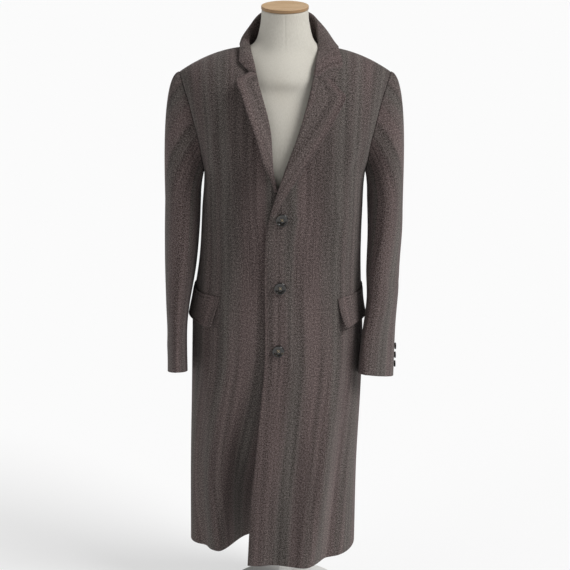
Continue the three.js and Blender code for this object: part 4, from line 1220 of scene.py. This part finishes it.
def form_at(turn, z):
    turn, z = np.broadcast_arrays(np.asarray(turn, float), np.asarray(z, float))
    sine, cosine = np.sin(np.radians(turn)), np.cos(np.radians(turn))
    ridge_top = NECK_POINT_Z - FORM_DROP
    reach = np.where(z < ridge_top, NECK_POINT_X + np.sqrt(np.maximum(0, ridge_top - z) / SHOULDER_FALL), 0)
    shoulder = np.minimum(read(TORSO, "half", z), reach)
    neck_half = np.where(z > NECK["z"][0], read(NECK, "half", z), 0)
    x = np.maximum(shoulder, neck_half) * sine
    full = read(TORSO, "half", z) * (1 + read(TORSO, "plate", z))
    lens = np.sqrt(np.maximum(0, 1 - (x / full) ** 2)) * round_over(shoulder_line(x) - FORM_DROP - z)
    depth = np.where(cosine >= 0, read(TORSO, "front", z), read(TORSO, "back", z))
    body = np.where(shoulder > abs(x) - 1e-6, depth * lens, 0)
    neck_depth = np.where(cosine >= 0, read(NECK, "front", z), read(NECK, "back", z))
    inside = np.sqrt(np.maximum(0, 1 - (x / np.maximum(neck_half, 1e-6)) ** 2))
    round_neck = np.where(neck_half > abs(x), neck_depth * inside, 0) * ease(z, 1190, 1200)
    power = 8 - 4.5 * np.maximum(0, cosine) ** 6
    both = (body**power + round_neck**power) ** (1 / power)
    return stack(x, -np.sign(cosine) * both, z)


levels = np.concatenate([
    [FORM_FOOT_Z, 620.8, 622.5, 626], np.linspace(632, 1122, 70), np.linspace(1129, NECK_TOP_Z - 4, 124)[:-1],
    NECK_TOP_Z - np.array([4, 1.7, 0.6, 0])])
turns = (np.arange(224) + 0.5) * 360 / 224
z_grid, turn_grid = np.meshgrid(levels, turns, indexing="ij")
form = form_at(turn_grid, z_grid)
# The padding runs softly from the chest into the neck, with no edge between them
soft = form.copy()
reach = np.exp(-((np.arange(-PADDING_STEPS, PADDING_STEPS + 1) * LEVEL_HEIGHT / PADDING_REACH) ** 2))
reach /= reach.sum()
for column in range(form.shape[1]):
    for axis in (0, 1):
        line = np.pad(form[:, column, axis], PADDING_STEPS, mode="edge")
        soft[:, column, axis] = np.convolve(line, reach, "valid")
share = ease(levels, 1150, 1172) * (1 - ease(levels, 1300, 1325))
front = ease(np.cos(np.radians(turns)), -0.2, 0.3)
form = blend(form, soft, (share[:, None] * front)[..., None])
seam = np.exp(-((form[..., 0] / 1.1) ** 2)) * 0.7
form[..., 1] += np.sign(-form[..., 1]) * seam
for row, inset in ((0, 0.965), (1, 0.983), (2, 0.993), (-1, 0.965), (-2, 0.985), (-3, 0.996)):
    form[row, :, :2] *= inset
tilt = np.clip((levels - 1300) / (NECK_TOP_Z - 1300), 0, 1)[:, None]
form[..., 2] += form[..., 1] * math.tan(math.radians(CAP_TILT)) * tilt
vertices = form.reshape(-1, 3).tolist() + [[0, 0, FORM_FOOT_Z], [0, 0, NECK_TOP_Z]]
form_cover = new_mesh("linen_form", vertices, ring_faces(len(levels), len(turns)), linen_finish())
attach(form_cover, "root")
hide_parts("form_torso")


# The neck's cap: a flat disc of light wood with a rounded rim, oiled, screwed down on the
# neck so that it leans forward with it.
def wood_finish():
    wood = Finish("oiled_wood")
    long_grain = wood.place("Object", (0.55, 7, 7), 0.35)
    grain = wood.noise(long_grain, 26, 5, 0.6)
    rings = wood.node("TexWave", {"wave_type": "BANDS", "bands_direction": "Y"}, {
        "Vector": wood.place("Object", (0.5, 1, 1), 0.35), "Scale": 38, "Distortion": 5,
        "Detail": 2, "Detail Scale": 1.5}, 1)
    pore = wood.between(wood.noise(wood.place("Object", (6, 80, 80), 0.35), 22, 2), 0.58, 0.7)
    colour = wood.mix(wood.between(grain, 0.35, 0.68), (0.66, 0.475, 0.295), (0.52, 0.345, 0.190))
    colour = wood.mix(rings * 0.35, colour, (0.55, 0.37, 0.21))
    colour = wood.mix(pore * 0.45, colour, (0.25, 0.13, 0.055))
    # Painted shade: wherever the surface turns from facing up, on the rounded rim and the underside, the wood
    # is painted darker brown.
    facing = wood.node("SeparateXYZ", {}, {0: wood.node("NewGeometry", {}, {}, "Normal")})
    up_facing_for_painted_shade = Value(wood, facing.socket.node.outputs[2])
    colour = wood.mix(wood.between(up_facing_for_painted_shade, 0.85, 0.3) * 0.7, colour, (0.22, 0.115, 0.042))
    return wood.finish(Base_Color=colour, Roughness=0.42 + grain * 0.18,
                       Normal=wood.bump(grain * 0.6 + pore, 0.0002, 0.35), Specular_IOR_Level=0.4)


def turned(name, profile, steps, material, tilt=0.0, at=(0, 0, 0)):
    """A solid turned about its upright axis from radii and heights, ends on the axis."""
    vertices = []
    for radius, height in profile[1:-1]:
        for j in range(steps):
            a = 2 * math.pi * j / steps
            vertices.append((radius * math.cos(a), radius * math.sin(a), height))
    vertices += [(0, 0, profile[0][1]), (0, 0, profile[-1][1])]
    c, s = math.cos(math.radians(tilt)), math.sin(math.radians(tilt))
    lean = np.array([[1, 0, 0], [0, c, -s], [0, s, c]])
    return new_mesh(name, np.array(vertices) @ lean.T + at, ring_faces(len(profile) - 2, steps), material)


def rounded_disc(radius, thickness, rounding):
    profile = [(0, 0), (radius - rounding * 1.6, 0)]
    for turn in np.linspace(-90, 0, 7):
        profile.append((radius - rounding + rounding * math.cos(math.radians(turn)),
                        rounding + rounding * math.sin(math.radians(turn))))
    for turn in np.linspace(0, 90, 7):
        profile.append((radius - rounding + rounding * math.cos(math.radians(turn)),
                        thickness - rounding + rounding * math.sin(math.radians(turn))))
    return profile + [(radius - rounding * 1.6, thickness), (radius * 0.5, thickness), (0, thickness)]


cap_profile = rounded_disc(CAP_RADIUS, CAP_THICKNESS, CAP_ROUNDING)
cap_piece = turned("wood_form_cap", cap_profile, 128, wood_finish(), CAP_TILT, (0, 0, NECK_TOP_Z + CAP_GAP))
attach(cap_piece, "root")
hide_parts("form_cap")


# The stand: a steel tube that carries the torso, fixed to a flat round steel base. Both are
# coated with white powder.
POLE_RADIUS = 15
POLE_FOOT_Z = 10.3
POLE_TOP_Z = 619.7
POLE_BEVEL = 0.6
BASE_RADIUS = 140
BASE_THICKNESS = 10
BASE_ROUNDING = 2.2


def paint_finish():
    paint = Finish("white_powder_coat")
    grit = paint.noise(paint.place("Object"), 1400, 2)
    worn = paint.noise(paint.place("Object"), 14, 3)
    colour = paint.mix(paint.between(worn, 0.45, 0.75) * 0.5, (0.80, 0.79, 0.765), (0.70, 0.69, 0.66))
    return paint.finish(Base_Color=colour, Roughness=0.38 + worn * 0.15,
                        Normal=paint.bump(grit, 0.0001, 0.35))


powder_coat = paint_finish()
pole_profile = [
    (0, POLE_FOOT_Z), (POLE_RADIUS - POLE_BEVEL, POLE_FOOT_Z), (POLE_RADIUS, POLE_FOOT_Z + POLE_BEVEL),
    (POLE_RADIUS, 300), (POLE_RADIUS, POLE_TOP_Z - POLE_BEVEL), (POLE_RADIUS - POLE_BEVEL, POLE_TOP_Z),
    (0, POLE_TOP_Z)]
pole_piece = turned("steel_form_pole", pole_profile, 64, powder_coat)
base_profile = rounded_disc(BASE_RADIUS, BASE_THICKNESS, BASE_ROUNDING)
base_piece = turned("steel_form_base", base_profile, 160, powder_coat)
for piece, node in ((pole_piece, "form_pole"), (base_piece, "form_base")):
    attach(piece, "root")
    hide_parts(node)


# The room: a plain pale floor that fills the view, and soft studio lights. The large one
# is high on the right, and a weaker one fills the shadows from the left.
FLOOR_GLOW = 0.58
ROOM_LIGHT = 0.17
floor_mesh = bpy.data.meshes.new("floor")
floor_mesh.from_pydata([(-30, -12, 0), (30, -12, 0), (30, 45, 0), (-30, 45, 0)], [], [(0, 1, 2, 3)])
floor = bpy.data.objects.new("floor", floor_mesh)
bpy.context.scene.collection.objects.link(floor)
pale = Finish("pale_floor")
floor_mesh.materials.append(pale.finish(
    Base_Color=(0.40, 0.40, 0.40), Roughness=0.95, Specular_IOR_Level=0.0,
    Emission_Color=(1, 1, 1), Emission_Strength=FLOOR_GLOW))

world = bpy.data.worlds.new("studio")
world.use_nodes = True
world.node_tree.nodes["Background"].inputs["Color"].default_value = (1, 1, 1, 1)
world.node_tree.nodes["Background"].inputs["Strength"].default_value = ROOM_LIGHT
bpy.context.scene.world = world
bpy.context.scene.view_settings.view_transform = "Standard"


def soft_sun(name, azimuth, elevation, strength, spread):
    """A broad far light, its azimuth counted from the camera towards the viewer's right."""
    light = bpy.data.lights.new(name, "SUN")
    light.energy = strength
    light.angle = math.radians(spread)
    made = bpy.data.objects.new(name, light)
    made.rotation_euler = (math.radians(90 - elevation), 0, math.radians(azimuth))
    bpy.context.scene.collection.objects.link(made)


soft_sun("key", 66, 44, 3.1, 30)
soft_sun("fill", -76, 38, 0.55, 60)
